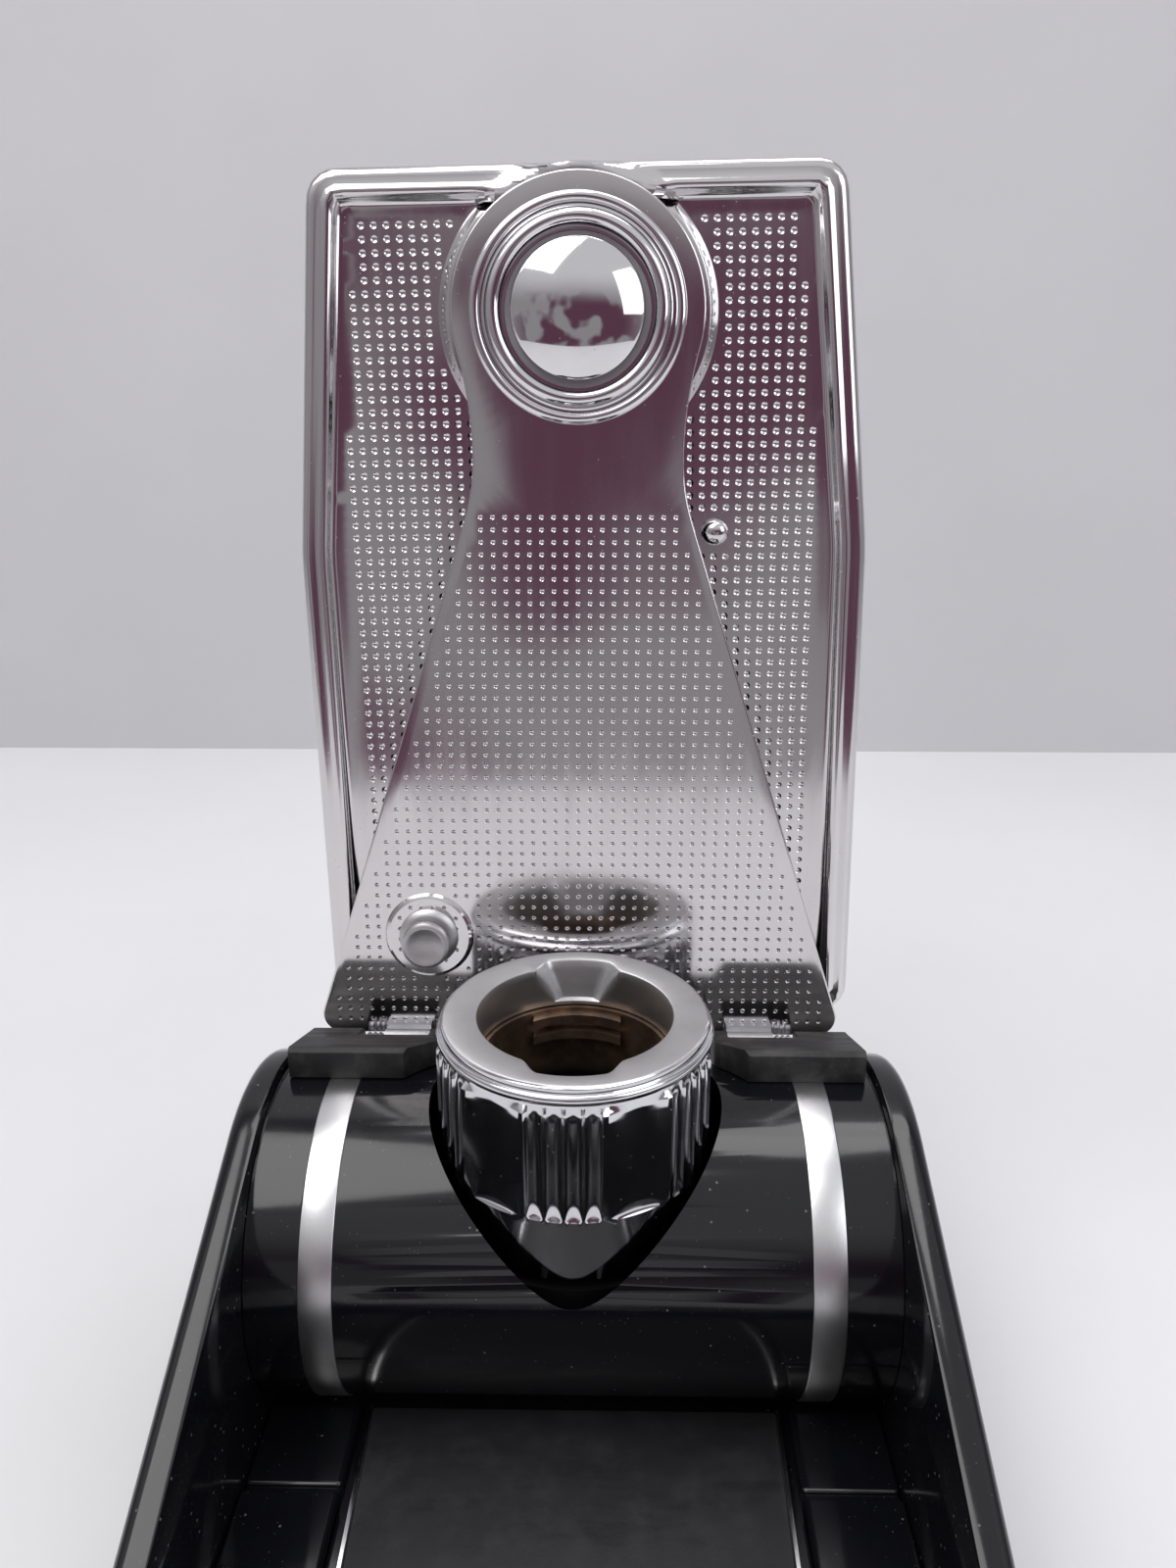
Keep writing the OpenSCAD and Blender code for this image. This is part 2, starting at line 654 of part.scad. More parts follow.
function arm_corner_x() = neck_half + (arm_drop - arm_corner_r - neck_drop - neck_bend_r * tan(flare_a / 2))
    * tan(flare_a) - arm_corner_r / cos(flare_a);

function arm_side() = concat(
    arc([upper_x, -neck_drop], upper_r, 180 - upper_a, 180, 8),
    arc([lower_x, -neck_drop], neck_bend_r, 180, 180 + flare_a, 6),
    arc([arm_corner_x(), arm_corner_r - arm_drop], arm_corner_r, flare_a, -90, 8));

module arm_outline() {
    circle(r = head_r);
    polygon(concat([[0, 0]], arm_side(), mirrored(arm_side())));
}

module swing_arm() color("#c9c6ca") at_pivot() difference() {
    union() {
        slab(0, arm_t) arm_outline();
        translate([-index_x, 0, -index_drop]) rod_y(plateau_r, -plateau_h, arm_t);
    }
    rod_y(arm_hole_r, -5, 5);
    translate([-index_x, 0, -index_drop]) {
        rod_y(plateau_r - arm_t, arm_t - plateau_h, 5);
        rod_y(index_bush_r, -5, 5);
    }
}

// each leaf is welded to the arm's front foot, below the brackets' tops, and rolled round its pin
module hinge_leaves() color("#b9b7bb") at_pivot() for (side = [0, 1]) mirror([side, 0, 0])
    translate([leaf_x - leaf_w / 2, 0, -pivot_h]) difference() {
        union() {
            translate([0, -arm_face_y, 0]) rod_x(knuckle_r - 0.1, 0, leaf_w - spring_room);
            translate([0, -leaf_t, 0]) cube([leaf_w - spring_room, leaf_t, arm_foot + leaf_rise]);
        }
        translate([0, -arm_face_y, 0]) rod_x(hinge_pin_r, -1, leaf_w);
    }

// ---- pivot ------------------------------------------------------------------------------------

module pivot_ring() color("#dcdce0") at_pivot() rotate([90, 0, 0]) rotate_extrude() union() {
    polygon([[ring_hole_r, 0], [ring_r, 0], [ring_r, 0.5], [ring_r - 0.8, 1.2], [ring_r - 1.9, 1.2],
        [ring_r - 2.7, 0.7], [ring_r - 2.8, 1.6], [ring_r - 3.5, ring_proud],
        [ring_hole_r + 0.6, ring_proud], [ring_hole_r, ring_proud - 0.6]]);
}

module pivot_hub() color("#a9a9ae") at_pivot() difference() {
    union() {
        rod_y(arm_hole_r - run_gap, hub_face, arm_t);
        rod_y(hub_r, arm_t - fine, hub_end);
    }
    rod_y(stem_r + 0.1, -1, hub_end + 1);
    rod_y(spring_pocket_r, -1, spring_pocket_end);
    difference() {
        rod_y(hub_r + 1, hub_clip_face - 0.1, hub_clip_face + hub_clip_t + 0.1);
        rod_y(hub_r - 0.8, 0, hub_end);
    }
}

module pivot_washer() color("#e5e1d5") at_pivot()
    tube_y(hub_r + 5, hub_r + 0.1, arm_t + washer_gap, arm_t + washer_gap + pivot_washer_t);

module back_washer() color("#b8b8bd") at_pivot()
    tube_y(hub_r + 4, hub_r + 0.1, back_washer_face, back_washer_face + back_washer_t);

module hub_clip() color("#77787d") at_pivot() difference() {
    tube_y(hub_r + 2.2, hub_r - 0.7, hub_clip_face, hub_clip_face + hub_clip_t);
    translate([-3, 0, -30]) cube([6, 20, 30]);
}

module button_spring() color("#9fa0a5") at_pivot() translate([0, spring_pocket_end, 0])
    rotate([90, 0, 0]) coil(5.2, 0.4, 3, spring_pocket_end - cap_foot - 0.3);

module pivot_button() color("#d4d3d8") at_pivot() difference() {
    union() {
        dome_r = (button_r * button_r + dome_h * dome_h) / (2 * dome_h);
        intersection() {
            rod_y(button_r, cap_foot - dome_h - 1, cap_foot);
            translate([0, cap_foot - 0.6 - dome_h + dome_r, 0]) sphere(r = dome_r, $fn = 96);
        }
        rod_y(stem_r, cap_foot - 1, stem_end);
    }
    difference() {
        rod_y(stem_r + 1, stem_end - 1.2, stem_end - 0.5);
        rod_y(stem_r - 0.7, 0, stem_end + 1);
    }
}

module button_clip() color("#77787d") at_pivot() difference() {
    tube_y(stem_r + 1.8, stem_r - 0.65, stem_end - 1.15, stem_end - 0.55);
    translate([-1.5, 0, -20]) cube([3, 20, 20]);
}

// ---- index pin --------------------------------------------------------------------------------

module at_index() at_pivot() translate([-index_x, 0, -index_drop]) children();

module index_bush() color("#c8c8cc") at_index() difference() {
    union() {
        rod_y(index_bush_r - run_gap, -plateau_h - 0.1, arm_t + 0.2);
        translate([0, -plateau_h, 0]) rotate([90, 0, 0])
            cylinder(r1 = index_base_r, r2 = index_base_r - 1.2, h = index_base_h);
    }
    rod_y(index_shank_r + run_gap, -10, 10);
}

module index_spring() color("#9fa0a5") at_index() translate([0, -plateau_h - index_base_h - 0.05, 0])
    rotate([90, 0, 0]) coil(2.6, 0.3, 2, index_travel + pass_gap - 0.1);

module index_pin() color("#cccbd0") at_index() difference() {
    union() {
        rod_y(index_head_r, index_head_foot - index_head_h, index_head_foot);
        rod_y(index_shank_r, index_head_foot - fine, index_tip);
    }
    // dished head
    translate([0, index_head_foot - index_head_h - 5.4, 0]) sphere(r = 6.1, $fn = 96);
    difference() {
        rod_y(index_shank_r + 1, index_tip - 0.85, index_tip - 0.25);
        rod_y(index_shank_r - 0.5, -10, 10);
    }
}

module index_clip() color("#77787d") at_index() difference() {
    tube_y(index_shank_r + 1, index_shank_r - 0.45, index_tip - 0.8, index_tip - 0.3);
    translate([-0.9, 0, -10]) cube([1.8, 10, 10]);
}

// ---- swivel plate -----------------------------------------------------------------------------

function plate_side(inset) = let (r = max(plate_corner_r - inset, 0.8)) concat(
    arc([plate_half_top - inset - r, plate_rise - inset - r], r, 90, 3, 8),
    [[plate_half_low - inset, -kink_drop]],
    arc([plate_half_low - inset - r, inset + r - plate_drop], r, 0, -90, 8));

module plate_outline(inset) polygon(concat(plate_side(inset), mirrored(plate_side(inset))));

module plate_frame(inset_out, inset_in, y0, y1) difference() {
    slab(y0, y1) plate_outline(inset_out);
    slab(y0 - 1, y1 + 1) plate_outline(inset_in);
}

module swivel_plate() color("#cdc9ce") at_plate() difference() {
    union() {
        plate_frame(0, plate_t, border_face, plate_back);
        plate_frame(0, border_w, border_face, border_face + plate_t);
        plate_frame(border_w - plate_t, border_w, border_face, field_face + plate_t);
        slab(field_face, field_face + plate_t) plate_outline(border_w - plate_t);
        rod_y(boss_r, boss_face, field_face + plate_t);
        translate([bump_x, 0, -bump_drop]) {
            rod_y(bump_r, 0.6, field_face + fine);
            translate([0, 0.6, 0]) intersection() {
                translate([0, 1.6, 0]) sphere(r = norm([bump_r, 1.6]));
                rod_y(bump_r, -5, 2);
            }
        }
    }
    rod_y(boss_r - plate_t, boss_face + plate_t, 20);
    rod_y(hub_r + run_gap, -5, 20);
}

base_housing();
drum_shell();
left_band();
right_band();
centre_panel();
panel_trims();
left_deck();
right_deck();
bottom_cover();
rubber_feet();
cover_screws();
ballast_plate();
ballast_screws();
socket_sleeve();
sleeve_screws();
snap_ring();
thrust_washer();
detent_ball();
detent_spring();
twist_collar();
left_bracket();
right_bracket();
bracket_screws();
hinge_pins();
hinge_springs();
swing_arm();
hinge_leaves();
pivot_ring();
pivot_hub();
pivot_washer();
back_washer();
hub_clip();
button_spring();
pivot_button();
button_clip();
index_bush();
index_spring();
index_pin();
index_clip();
swivel_plate();
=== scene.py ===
"""Countertop holder: black wedge base, banded drum, twist collar, folding arm and swivel plate."""

import json
import logging
import math
from dataclasses import dataclass, field
from enum import Enum

import bmesh
import bpy
from mathutils import Matrix, Vector
from mathutils.geometry import delaunay_2d_cdt


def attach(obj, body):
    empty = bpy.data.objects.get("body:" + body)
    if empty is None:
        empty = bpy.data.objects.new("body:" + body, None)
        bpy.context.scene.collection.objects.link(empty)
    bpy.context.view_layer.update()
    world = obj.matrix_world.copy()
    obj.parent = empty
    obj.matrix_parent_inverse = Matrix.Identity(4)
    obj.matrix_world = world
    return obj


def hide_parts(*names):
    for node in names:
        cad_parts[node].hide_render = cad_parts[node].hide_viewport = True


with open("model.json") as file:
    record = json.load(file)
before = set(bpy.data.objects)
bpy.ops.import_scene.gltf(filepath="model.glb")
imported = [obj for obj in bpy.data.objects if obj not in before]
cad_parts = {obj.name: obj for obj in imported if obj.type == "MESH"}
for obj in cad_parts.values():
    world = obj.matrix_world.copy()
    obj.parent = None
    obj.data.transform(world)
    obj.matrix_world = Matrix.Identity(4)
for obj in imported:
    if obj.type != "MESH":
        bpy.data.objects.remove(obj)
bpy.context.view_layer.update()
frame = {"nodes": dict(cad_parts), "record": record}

log = logging.getLogger("holder")
MM = 0.001
Point = tuple[float, float]


class Way(Enum):
    """The two directions that the anisotropic grain of a finish can take."""

    TURNED = "turned"
    DRAWN = "drawn"


# ---- shader maths -------------------------------------------------------------------------------


class Wire:
    """A node output on which Python's arithmetic adds Math nodes."""

    def __init__(self, graph: "Graph", socket: bpy.types.NodeSocket) -> None:
        """Keeps the socket and the graph that it belongs to."""
        self.graph, self.socket = graph, socket

    def _math(self, operation: str, *terms: object) -> "Wire":
        """Adds a Math node over these terms."""
        return self.graph.add("ShaderNodeMath", {"operation": operation}, dict(enumerate(terms)))

    def __add__(self, other: object) -> "Wire":
        """Sum."""
        return self._math("ADD", self, other)

    def __radd__(self, other: object) -> "Wire":
        """Reflected sum."""
        return self._math("ADD", other, self)

    def __sub__(self, other: object) -> "Wire":
        """Difference."""
        return self._math("SUBTRACT", self, other)

    def __rsub__(self, other: object) -> "Wire":
        """Reflected difference."""
        return self._math("SUBTRACT", other, self)

    def __mul__(self, other: object) -> "Wire":
        """Product."""
        return self._math("MULTIPLY", self, other)

    def __rmul__(self, other: object) -> "Wire":
        """Reflected product."""
        return self._math("MULTIPLY", other, self)

    def above(self, edge: float, soft: float) -> "Wire":
        """0 below edge, 1 above it, turning over a width of soft."""
        settings = {"interpolation_type": "SMOOTHSTEP"}
        return self.graph.add("ShaderNodeMapRange", settings,
                              {0: self, 1: edge - soft, 2: edge + soft, 3: 0.0, 4: 1.0})


class Graph:
    """A shader tree to which nodes are added."""

    def __init__(self, tree: bpy.types.NodeTree) -> None:
        """Keeps the tree."""
        self.tree = tree

    def add(self, kind: str, settings: dict, inputs: dict, output: int | str = 0) -> Wire:
        """Adds any node.

        Args:
            kind: the node's type.
            settings: attributes that are set first.
            inputs: values or wires, by socket index or name.
            output: which output to return.

        Returns:
            The chosen output.
        """
        node = self.tree.nodes.new(kind)
        for key, value in settings.items():
            setattr(node, key, value)
        for key, value in inputs.items():
            if isinstance(value, Wire):
                self.tree.links.new(value.socket, node.inputs[key])
            else:
                node.inputs[key].default_value = value
        return Wire(self, node.outputs[output])

    def place(self, scale: tuple[float, float, float] = (1, 1, 1),
              centre: tuple[float, float, float] = (0, 0, 0)) -> Wire:
        """Object coordinates about a centre, scaled."""
        spot = self.add("ShaderNodeTexCoord", {}, {}, "Object")
        shift = tuple(-c * s for c, s in zip(centre, scale))
        return self.add("ShaderNodeMapping", {}, {"Vector": spot, "Location": shift, "Scale": scale})

    def noise(self, scale: float, where: Wire | None = None, detail: float = 3.0,
              rough: float = 0.55) -> Wire:
        """A noise value from 0 to 1."""
        return self.add("ShaderNodeTexNoise", {}, {"Vector": where or self.place(), "Scale": scale,
                                                   "Detail": detail, "Roughness": rough}, "Fac")

    def specks(self, scale: float, radius: float, keep: float) -> Wire:
        """A mask of scattered small specks.

        Args:
            scale: cells per metre.
            radius: a speck's radius as a share of a cell.
            keep: the share of cells that hold a speck.

        Returns:
            1 on a speck, 0 elsewhere.
        """
        inputs = {"Vector": self.place(), "Scale": scale}
        cell = self.add("ShaderNodeTexVoronoi", {}, inputs, "Distance")
        pick = self.add("ShaderNodeTexVoronoi", {}, inputs, "Color")
        chosen = self.add("ShaderNodeSeparateColor", {}, {"Color": pick}, "Red").above(1 - keep, 0.001)
        return (1 - cell.above(radius, radius * 0.4)) * chosen

    def blend(self, mask: Wire, low: tuple, high: tuple) -> Wire:
        """A colour between low and high."""
        return self.add("ShaderNodeMix", {"data_type": "RGBA"}, {0: mask, 6: low, 7: high}, 2)


class Paint(Graph):
    """One material under construction, with its principled shader."""

    def __init__(self, name: str, **values: object) -> None:
        """Starts a material and sets the constant values of its principled shader.

        Args:
            name: the material's name.
            values: socket names with underscores for spaces, and their values.
        """
        self.material = bpy.data.materials.new(name)
        self.material.use_nodes = True
        super().__init__(self.material.node_tree)
        self.shader = self.tree.nodes["Principled BSDF"]
        for key, value in values.items():
            self.shader.inputs[key.replace("_", " ")].default_value = value

    def set(self, socket: str, value: Wire) -> "Paint":
        """Drives one of the principled shader's sockets."""
        self.tree.links.new(value.socket, self.shader.inputs[socket])
        return self

    def bump(self, height: Wire, strength: float, distance: float) -> "Paint":
        """Feeds a height through a Bump node into Normal."""
        out = self.add("ShaderNodeBump", {}, {"Height": height, "Strength": strength,
                                              "Distance": distance}, "Normal")
        return self.set("Normal", out)


def rgb(r: float, g: float, b: float) -> tuple[float, float, float, float]:
    """An opaque colour."""
    return (r, g, b, 1.0)


# ---- finishes -----------------------------------------------------------------------------------


@dataclass(frozen=True)
class BlackGloss:
    """Moulded black plastic with a high gloss, faint waviness and dust."""

    name: str = "black_gloss"
    tone: tuple = rgb(0.0045, 0.0048, 0.0065)
    dust: tuple = rgb(0.20, 0.20, 0.21)

    def make(self) -> bpy.types.Material:
        """Builds the material."""
        p = Paint(self.name, IOR=1.46, Coat_Weight=0.12, Coat_Roughness=0.05)
        haze = p.noise(60).above(0.62, 0.2)
        motes = p.specks(900, 0.16, 0.05)
        fine = p.specks(2600, 0.2, 0.03)
        dirt = motes * 0.55 + fine * 0.35 + haze * 0.006
        p.set("Base Color", p.blend(dirt, self.tone, self.dust))
        scuffs = p.noise(30, p.place((1, 12, 1)), 5).above(0.6, 0.18)
        p.set("Roughness", 0.10 + haze * 0.07 + scuffs * 0.05 + motes * 0.4)
        return p.bump(p.noise(140), 0.08, 0.0002).material


@dataclass(frozen=True)
class MattePlastic:
    """Fine-grained matte moulding with a dusty bloom."""

    name: str
    tone: tuple
    bloom: tuple
    bloom_share: float
    roughness: float = 0.62

    def make(self) -> bpy.types.Material:
        """Builds the material."""
        p = Paint(self.name, IOR=1.46)
        patches = p.noise(180, None, 6, 0.65).above(0.56, 0.16)
        grit = p.specks(1800, 0.22, 0.1)
        rub = p.noise(70, p.place((1, 6, 1)), 6).above(0.58, 0.14)
        p.set("Base Color", p.blend((patches * 0.75 + grit * 0.5 + rub * 0.25) * self.bloom_share,
                                    self.tone, self.bloom))
        p.set("Roughness", self.roughness - rub * 0.16 + patches * 0.12)
        return p.bump(p.noise(2600, None, 2) + p.noise(500) * 0.8, 0.3, 0.00006).material


@dataclass(frozen=True)
class Chrome:
    """Bright plating with faint haze, wipe marks, hairline scratches and dust."""

    name: str
    tone: tuple
    roughness: float = 0.06
    haze: float = 0.08
    wave: float = 0.00004

    def make(self) -> bpy.types.Material:
        """Builds the material."""
        p = Paint(self.name, Metallic=1.0)
        cloud = p.noise(35, None, 5, 0.6)
        wipe = p.noise(50, p.place((5, 1, 0.6)), 5).above(0.57, 0.2)
        hair = p.noise(420, p.place((14, 1, 0.7)), 3).above(0.71, 0.02)
        dust = p.specks(1500, 0.15, 0.04)
        dark = tuple(c * 0.86 for c in self.tone[:3]) + (1.0,)
        p.set("Base Color", p.blend(cloud.above(0.5, 0.3) * 0.5 + dust * 0.3, self.tone, dark))
        p.set("Roughness", self.roughness + wipe * self.haze + cloud * 0.04 + hair * 0.12 + dust * 0.3)
        return p.bump(p.noise(28, None, 2), 0.25, self.wave).material


@dataclass(frozen=True)
class Satin:
    """Machined or drawn metal with a fine directional grain."""

    name: str
    tone: tuple
    way: Way
    centre: tuple = (0.0, 0.0, 0.0)
    roughness: float = 0.26
    along: tuple = (1.0, 1.0, 1.0)

    def make(self) -> bpy.types.Material:
        """Builds the material."""
        p = Paint(self.name, Metallic=1.0)
        if self.way is Way.TURNED:
            spot = p.place((1, 1, 1), self.centre)
            flat = p.add("ShaderNodeVectorMath", {"operation": "MULTIPLY"}, {0: spot, 1: (1, 1, 0)})
            radius = p.add("ShaderNodeVectorMath", {"operation": "LENGTH"}, {0: flat}, 1)
            line = p.add("ShaderNodeCombineXYZ", {}, {0: radius, 1: 0.0, 2: 0.0})
            grain = p.noise(4200, line, 3)
        else:
            grain = p.noise(2600, p.place(self.along), 3)
        wear = p.noise(120, None, 5)
        dark = tuple(c * 0.62 for c in self.tone[:3]) + (1.0,)
        p.set("Base Color", p.blend(grain * 0.35 + wear.above(0.58, 0.2) * 0.3, self.tone, dark))
        p.set("Roughness", self.roughness + grain * 0.14 + wear * 0.08)
        return p.bump(grain, 0.35, 0.00003).material


@dataclass(frozen=True)
class Bronze:
    """Dull machined bronze, browned in patches, with painted shade: near black below a set height, where the
    hole lies in shadow.
    """

    name: str = "bronze_sleeve"
    tone: tuple = rgb(0.30, 0.20, 0.135)
    brown: tuple = rgb(0.085, 0.055, 0.042)
    painted_shade: tuple = rgb(0.012, 0.011, 0.011)

    def make(self) -> bpy.types.Material:
        """Builds the material."""
        p = Paint(self.name, Metallic=0.9)
        patch = p.noise(160, None, 6)
        rings = p.noise(900, p.place((0.05, 0.05, 3)), 2)
        worn = p.blend(patch.above(0.5, 0.16) * 0.8, self.tone, self.brown)
        height = p.add("ShaderNodeSeparateXYZ", {}, {0: p.place()}, "Z")
        # painted shade: below 54.5 mm the bronze turns near black, standing in for the shadow down in the
        # hole
        p.set("Base Color", p.blend(height.above(0.0545, 0.002), self.painted_shade, worn))
        p.set("Roughness", 0.42 + patch * 0.2 + rings * 0.1 - height.above(0.0545, 0.002) * 0.12)
        return p.bump(rings, 0.3, 0.00005).material


@dataclass(frozen=True)
class Rubber:
    """Soft black rubber with a faint grain."""

    name: str = "foot_rubber"

    def make(self) -> bpy.types.Material:
        """Builds the material."""
        p = Paint(self.name, IOR=1.45)
        grain = p.noise(900, None, 4)
        p.set("Base Color", p.blend(grain, rgb(0.012, 0.012, 0.012), rgb(0.05, 0.05, 0.048)))
        p.set("Roughness", 0.72 + grain * 0.15)
        return p.bump(grain, 0.4, 0.00008).material


class Finishes:
    """Every finish of the holder, by material slot."""

    def __init__(self, collar_centre: tuple[float, float, float]) -> None:
        """Makes the materials; the turned grain is centred on the collar's axis."""
        made = [
            BlackGloss(),
            MattePlastic("matte_panel", rgb(0.016, 0.016, 0.018), rgb(0.035, 0.035, 0.038), 0.35, 0.52),
            MattePlastic("matte_cover", rgb(0.02, 0.02, 0.021), rgb(0.06, 0.06, 0.06), 0.4),
            MattePlastic("bracket_black", rgb(0.012, 0.012, 0.013), rgb(0.15, 0.14, 0.13), 0.34, 0.55),
            MattePlastic("nylon_white", rgb(0.72, 0.70, 0.64), rgb(0.5, 0.48, 0.42), 0.4, 0.45),
            Chrome("sheet_chrome", rgb(0.70, 0.68, 0.69), 0.075, 0.06, 0.00005),
            Chrome("ring_chrome", rgb(0.74, 0.73, 0.745), 0.06, 0.05),
            Chrome("mirror_chrome", rgb(0.72, 0.71, 0.73), 0.03, 0.03),
            Chrome("collar_chrome", rgb(0.70, 0.70, 0.725), 0.08, 0.07),
            Chrome("bright_trim", rgb(0.78, 0.78, 0.80), 0.10, 0.08),
            Satin("collar_rim", rgb(0.70, 0.70, 0.71), Way.TURNED, collar_centre, 0.24),
            Satin("satin_band", rgb(0.74, 0.74, 0.75), Way.DRAWN, roughness=0.20, along=(6, 0.4, 0.4)),
            Satin("satin_pin", rgb(0.62, 0.61, 0.62), Way.DRAWN, roughness=0.30),
            Satin("zinc_steel", rgb(0.56, 0.56, 0.58), Way.DRAWN, roughness=0.32, along=(3, 1, 1)),
            Satin("spring_steel", rgb(0.48, 0.48, 0.50), Way.DRAWN, roughness=0.30),
            Satin("ballast_steel", rgb(0.17, 0.165, 0.16), Way.DRAWN, roughness=0.55),
            Bronze(),
            Rubber(),
        ]
        self.by_name = {f.name: f.make() for f in made}

    def __getitem__(self, name: str) -> bpy.types.Material:
        """The material of that name."""
        return self.by_name[name]


# ---- mesh helpers -------------------------------------------------------------------------------


class Workshop:
    """Turns vertices and faces into finished pieces."""

    def __init__(self, finishes: Finishes) -> None:
        """Keeps the finishes that pieces are dressed with."""
        self.finishes = finishes

    def piece(self, name: str, verts: list, faces: list, slots: list[str], body: str,
              node: str | None = None, slot: str | None = None, tags: list[int] | None = None,
              smooth: float = 35.0, bevel: float = 0.0) -> bpy.types.Object:
        """Builds one piece and hands it to the frame.

        Args:
            name: the piece's name.
            verts: its vertices, in metres in the row frame.
            faces: its faces, counter-clockwise from outside or mended here.
            slots: finishes, in material index order.
            body: the CAD body it rides on.
            node: the CAD node it stands for, if any.
            slot: not used.
            tags: each face's material index.
            smooth: the sharpest angle in degrees that is shaded smooth.
            bevel: a bevel's width in metres, or 0.

        Returns:
            The finished object.
        """
        mesh = bpy.data.meshes.new(name)
        bm = bmesh.new()
        made = [bm.verts.new(v) for v in verts]
        for i, face in enumerate(faces):
            try:
                f = bm.faces.new([made[k] for k in face])
            except ValueError:
                continue
            f.material_index = tags[i] if tags else 0
        bmesh.ops.remove_doubles(bm, verts=bm.verts, dist=1e-6)
        bmesh.ops.recalc_face_normals(bm, faces=bm.faces)
        bm.to_mesh(mesh)
        bm.free()
        thing = bpy.data.objects.new(name, mesh)
        bpy.context.collection.objects.link(thing)
        for s in slots:
            mesh.materials.append(self.finishes[s])
        if bevel:
            mod = thing.modifiers.new("edge", "BEVEL")
            mod.width, mod.segments, mod.limit_method = bevel, 3, "ANGLE"
            mod.angle_limit = math.radians(40)
            mod.harden_normals = False
            self.apply(thing)
        self.shade(thing, smooth)
        self.hand_over(thing, body, node)
        return thing

    def apply(self, thing: bpy.types.Object) -> None:
        """Bakes the piece's modifiers into its mesh."""
        graph = bpy.context.evaluated_depsgraph_get()
        baked = bpy.data.meshes.new_from_object(thing.evaluated_get(graph))
        thing.modifiers.clear()
        thing.data = baked

    def shade(self, thing: bpy.types.Object, angle: float) -> None:
        """Shades smooth except over edges sharper than angle."""
        bm = bmesh.new()
        bm.from_mesh(thing.data)
        limit = math.radians(angle)
        for f in bm.faces:
            f.smooth = True
        for e in bm.edges:
            e.smooth = len(e.link_faces) == 2 and e.calc_face_angle(0.0) < limit
        bm.to_mesh(thing.data)
        bm.free()

    def hand_over(self, thing: bpy.types.Object, body: str, node: str | None) -> None:
        """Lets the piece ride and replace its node."""
        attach(thing, body)
        if node:
            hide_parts(node)
        log.info("%s: %d faces on %s", thing.name, len(thing.data.polygons), body)


def arc(cx: float, cy: float, r: float, a0: float, a1: float, n: int) -> list[Point]:
    """Points of a circular arc, angles in degrees."""
    steps = [math.radians(a0 + (a1 - a0) * i / n) for i in range(n + 1)]
    return [(cx + r * math.cos(a), cy + r * math.sin(a)) for a in steps]


def circle(cx: float, cy: float, r: float, n: int) -> list[Point]:
    """A closed circle as n points."""
    return arc(cx, cy, r, 0, 360, n)[:-1]


def mirrored(points: list[Point]) -> list[Point]:
    """The points in reverse order with x negated."""
    return [(-x, y) for x, y in reversed(points)]


def resampled(loop: list[Point], n: int) -> list[Point]:
    """A closed loop as n points evenly spaced along its length."""
    ring = loop + [loop[0]]
    marks = [0.0]
    for a, b in zip(ring, ring[1:]):
        marks.append(marks[-1] + math.dist(a, b))
    out, k = [], 0
    for i in range(n):
        s = marks[-1] * i / n
        while marks[k + 1] < s:
            k += 1
        t = (s - marks[k]) / max(marks[k + 1] - marks[k], 1e-9)
        out.append((ring[k][0] + (ring[k + 1][0] - ring[k][0]) * t,
                    ring[k][1] + (ring[k + 1][1] - ring[k][1]) * t))
    return out


def inside(p: Point, loop: list[Point]) -> bool:
    """Whether a point lies inside a closed loop."""
    hit = False
    for (x0, y0), (x1, y1) in zip(loop, loop[1:] + loop[:1]):
        if (y0 > p[1]) != (y1 > p[1]) and p[0] < (x1 - x0) * (p[1] - y0) / (y1 - y0) + x0:
            hit = not hit
    return hit


def clearance(p: Point, loop: list[Point]) -> float:
    """A point's distance from a closed loop."""
    best = 1e9
    for a, b in zip(loop, loop[1:] + loop[:1]):
        d = Vector((b[0] - a[0], b[1] - a[1]))
        w = Vector((p[0] - a[0], p[1] - a[1]))
        t = max(0.0, min(1.0, w.dot(d) / max(d.length_squared, 1e-12)))
        best = min(best, (w - d * t).length)
    return best


class Shell:
    """Collects vertices and faces of one piece in a local frame."""

    def __init__(self, place: Matrix) -> None:
        """Starts an empty shell whose points go through place."""
        self.place = place
        self.verts: list[Vector] = []
        self.faces: list[list[int]] = []
        self.tags: list[int] = []

    def add(self, points: list, faces: list, tag: int = 0) -> None:
        """Adds points, in millimetres in the local frame, and faces on them."""
        base = len(self.verts)
        self.verts += [self.place @ (Vector(p) * MM) for p in points]
        self.faces += [[base + k for k in f] for f in faces]
        self.tags += [tag] * len(faces)

    def loft(self, rings: list[list[tuple]], tag: int = 0, closed: bool = False) -> None:
        """Joins rings of equal length with quads; closed joins the last to the first."""
        n = len(rings[0])
        pairs = len(rings) if closed else len(rings) - 1
        faces = [[i * n + k, i * n + (k + 1) % n, ((i + 1) % len(rings)) * n + (k + 1) % n,
                  ((i + 1) % len(rings)) * n + k] for i in range(pairs) for k in range(n)]
        self.add([p for ring in rings for p in ring], faces, tag)

    def cap(self, rings: list[list[tuple]]) -> None:
        """Closes the first and the last ring with one face each."""
        for ring in (rings[0], rings[-1]):
            self.add(ring, [list(range(len(ring)))])

    def fan(self, ring: list[tuple], centre: tuple, tag: int = 0) -> None:
        """Closes a ring to a centre point."""
        n = len(ring)
        self.add([*ring, centre], [[k, (k + 1) % n, n] for k in range(n)], tag)


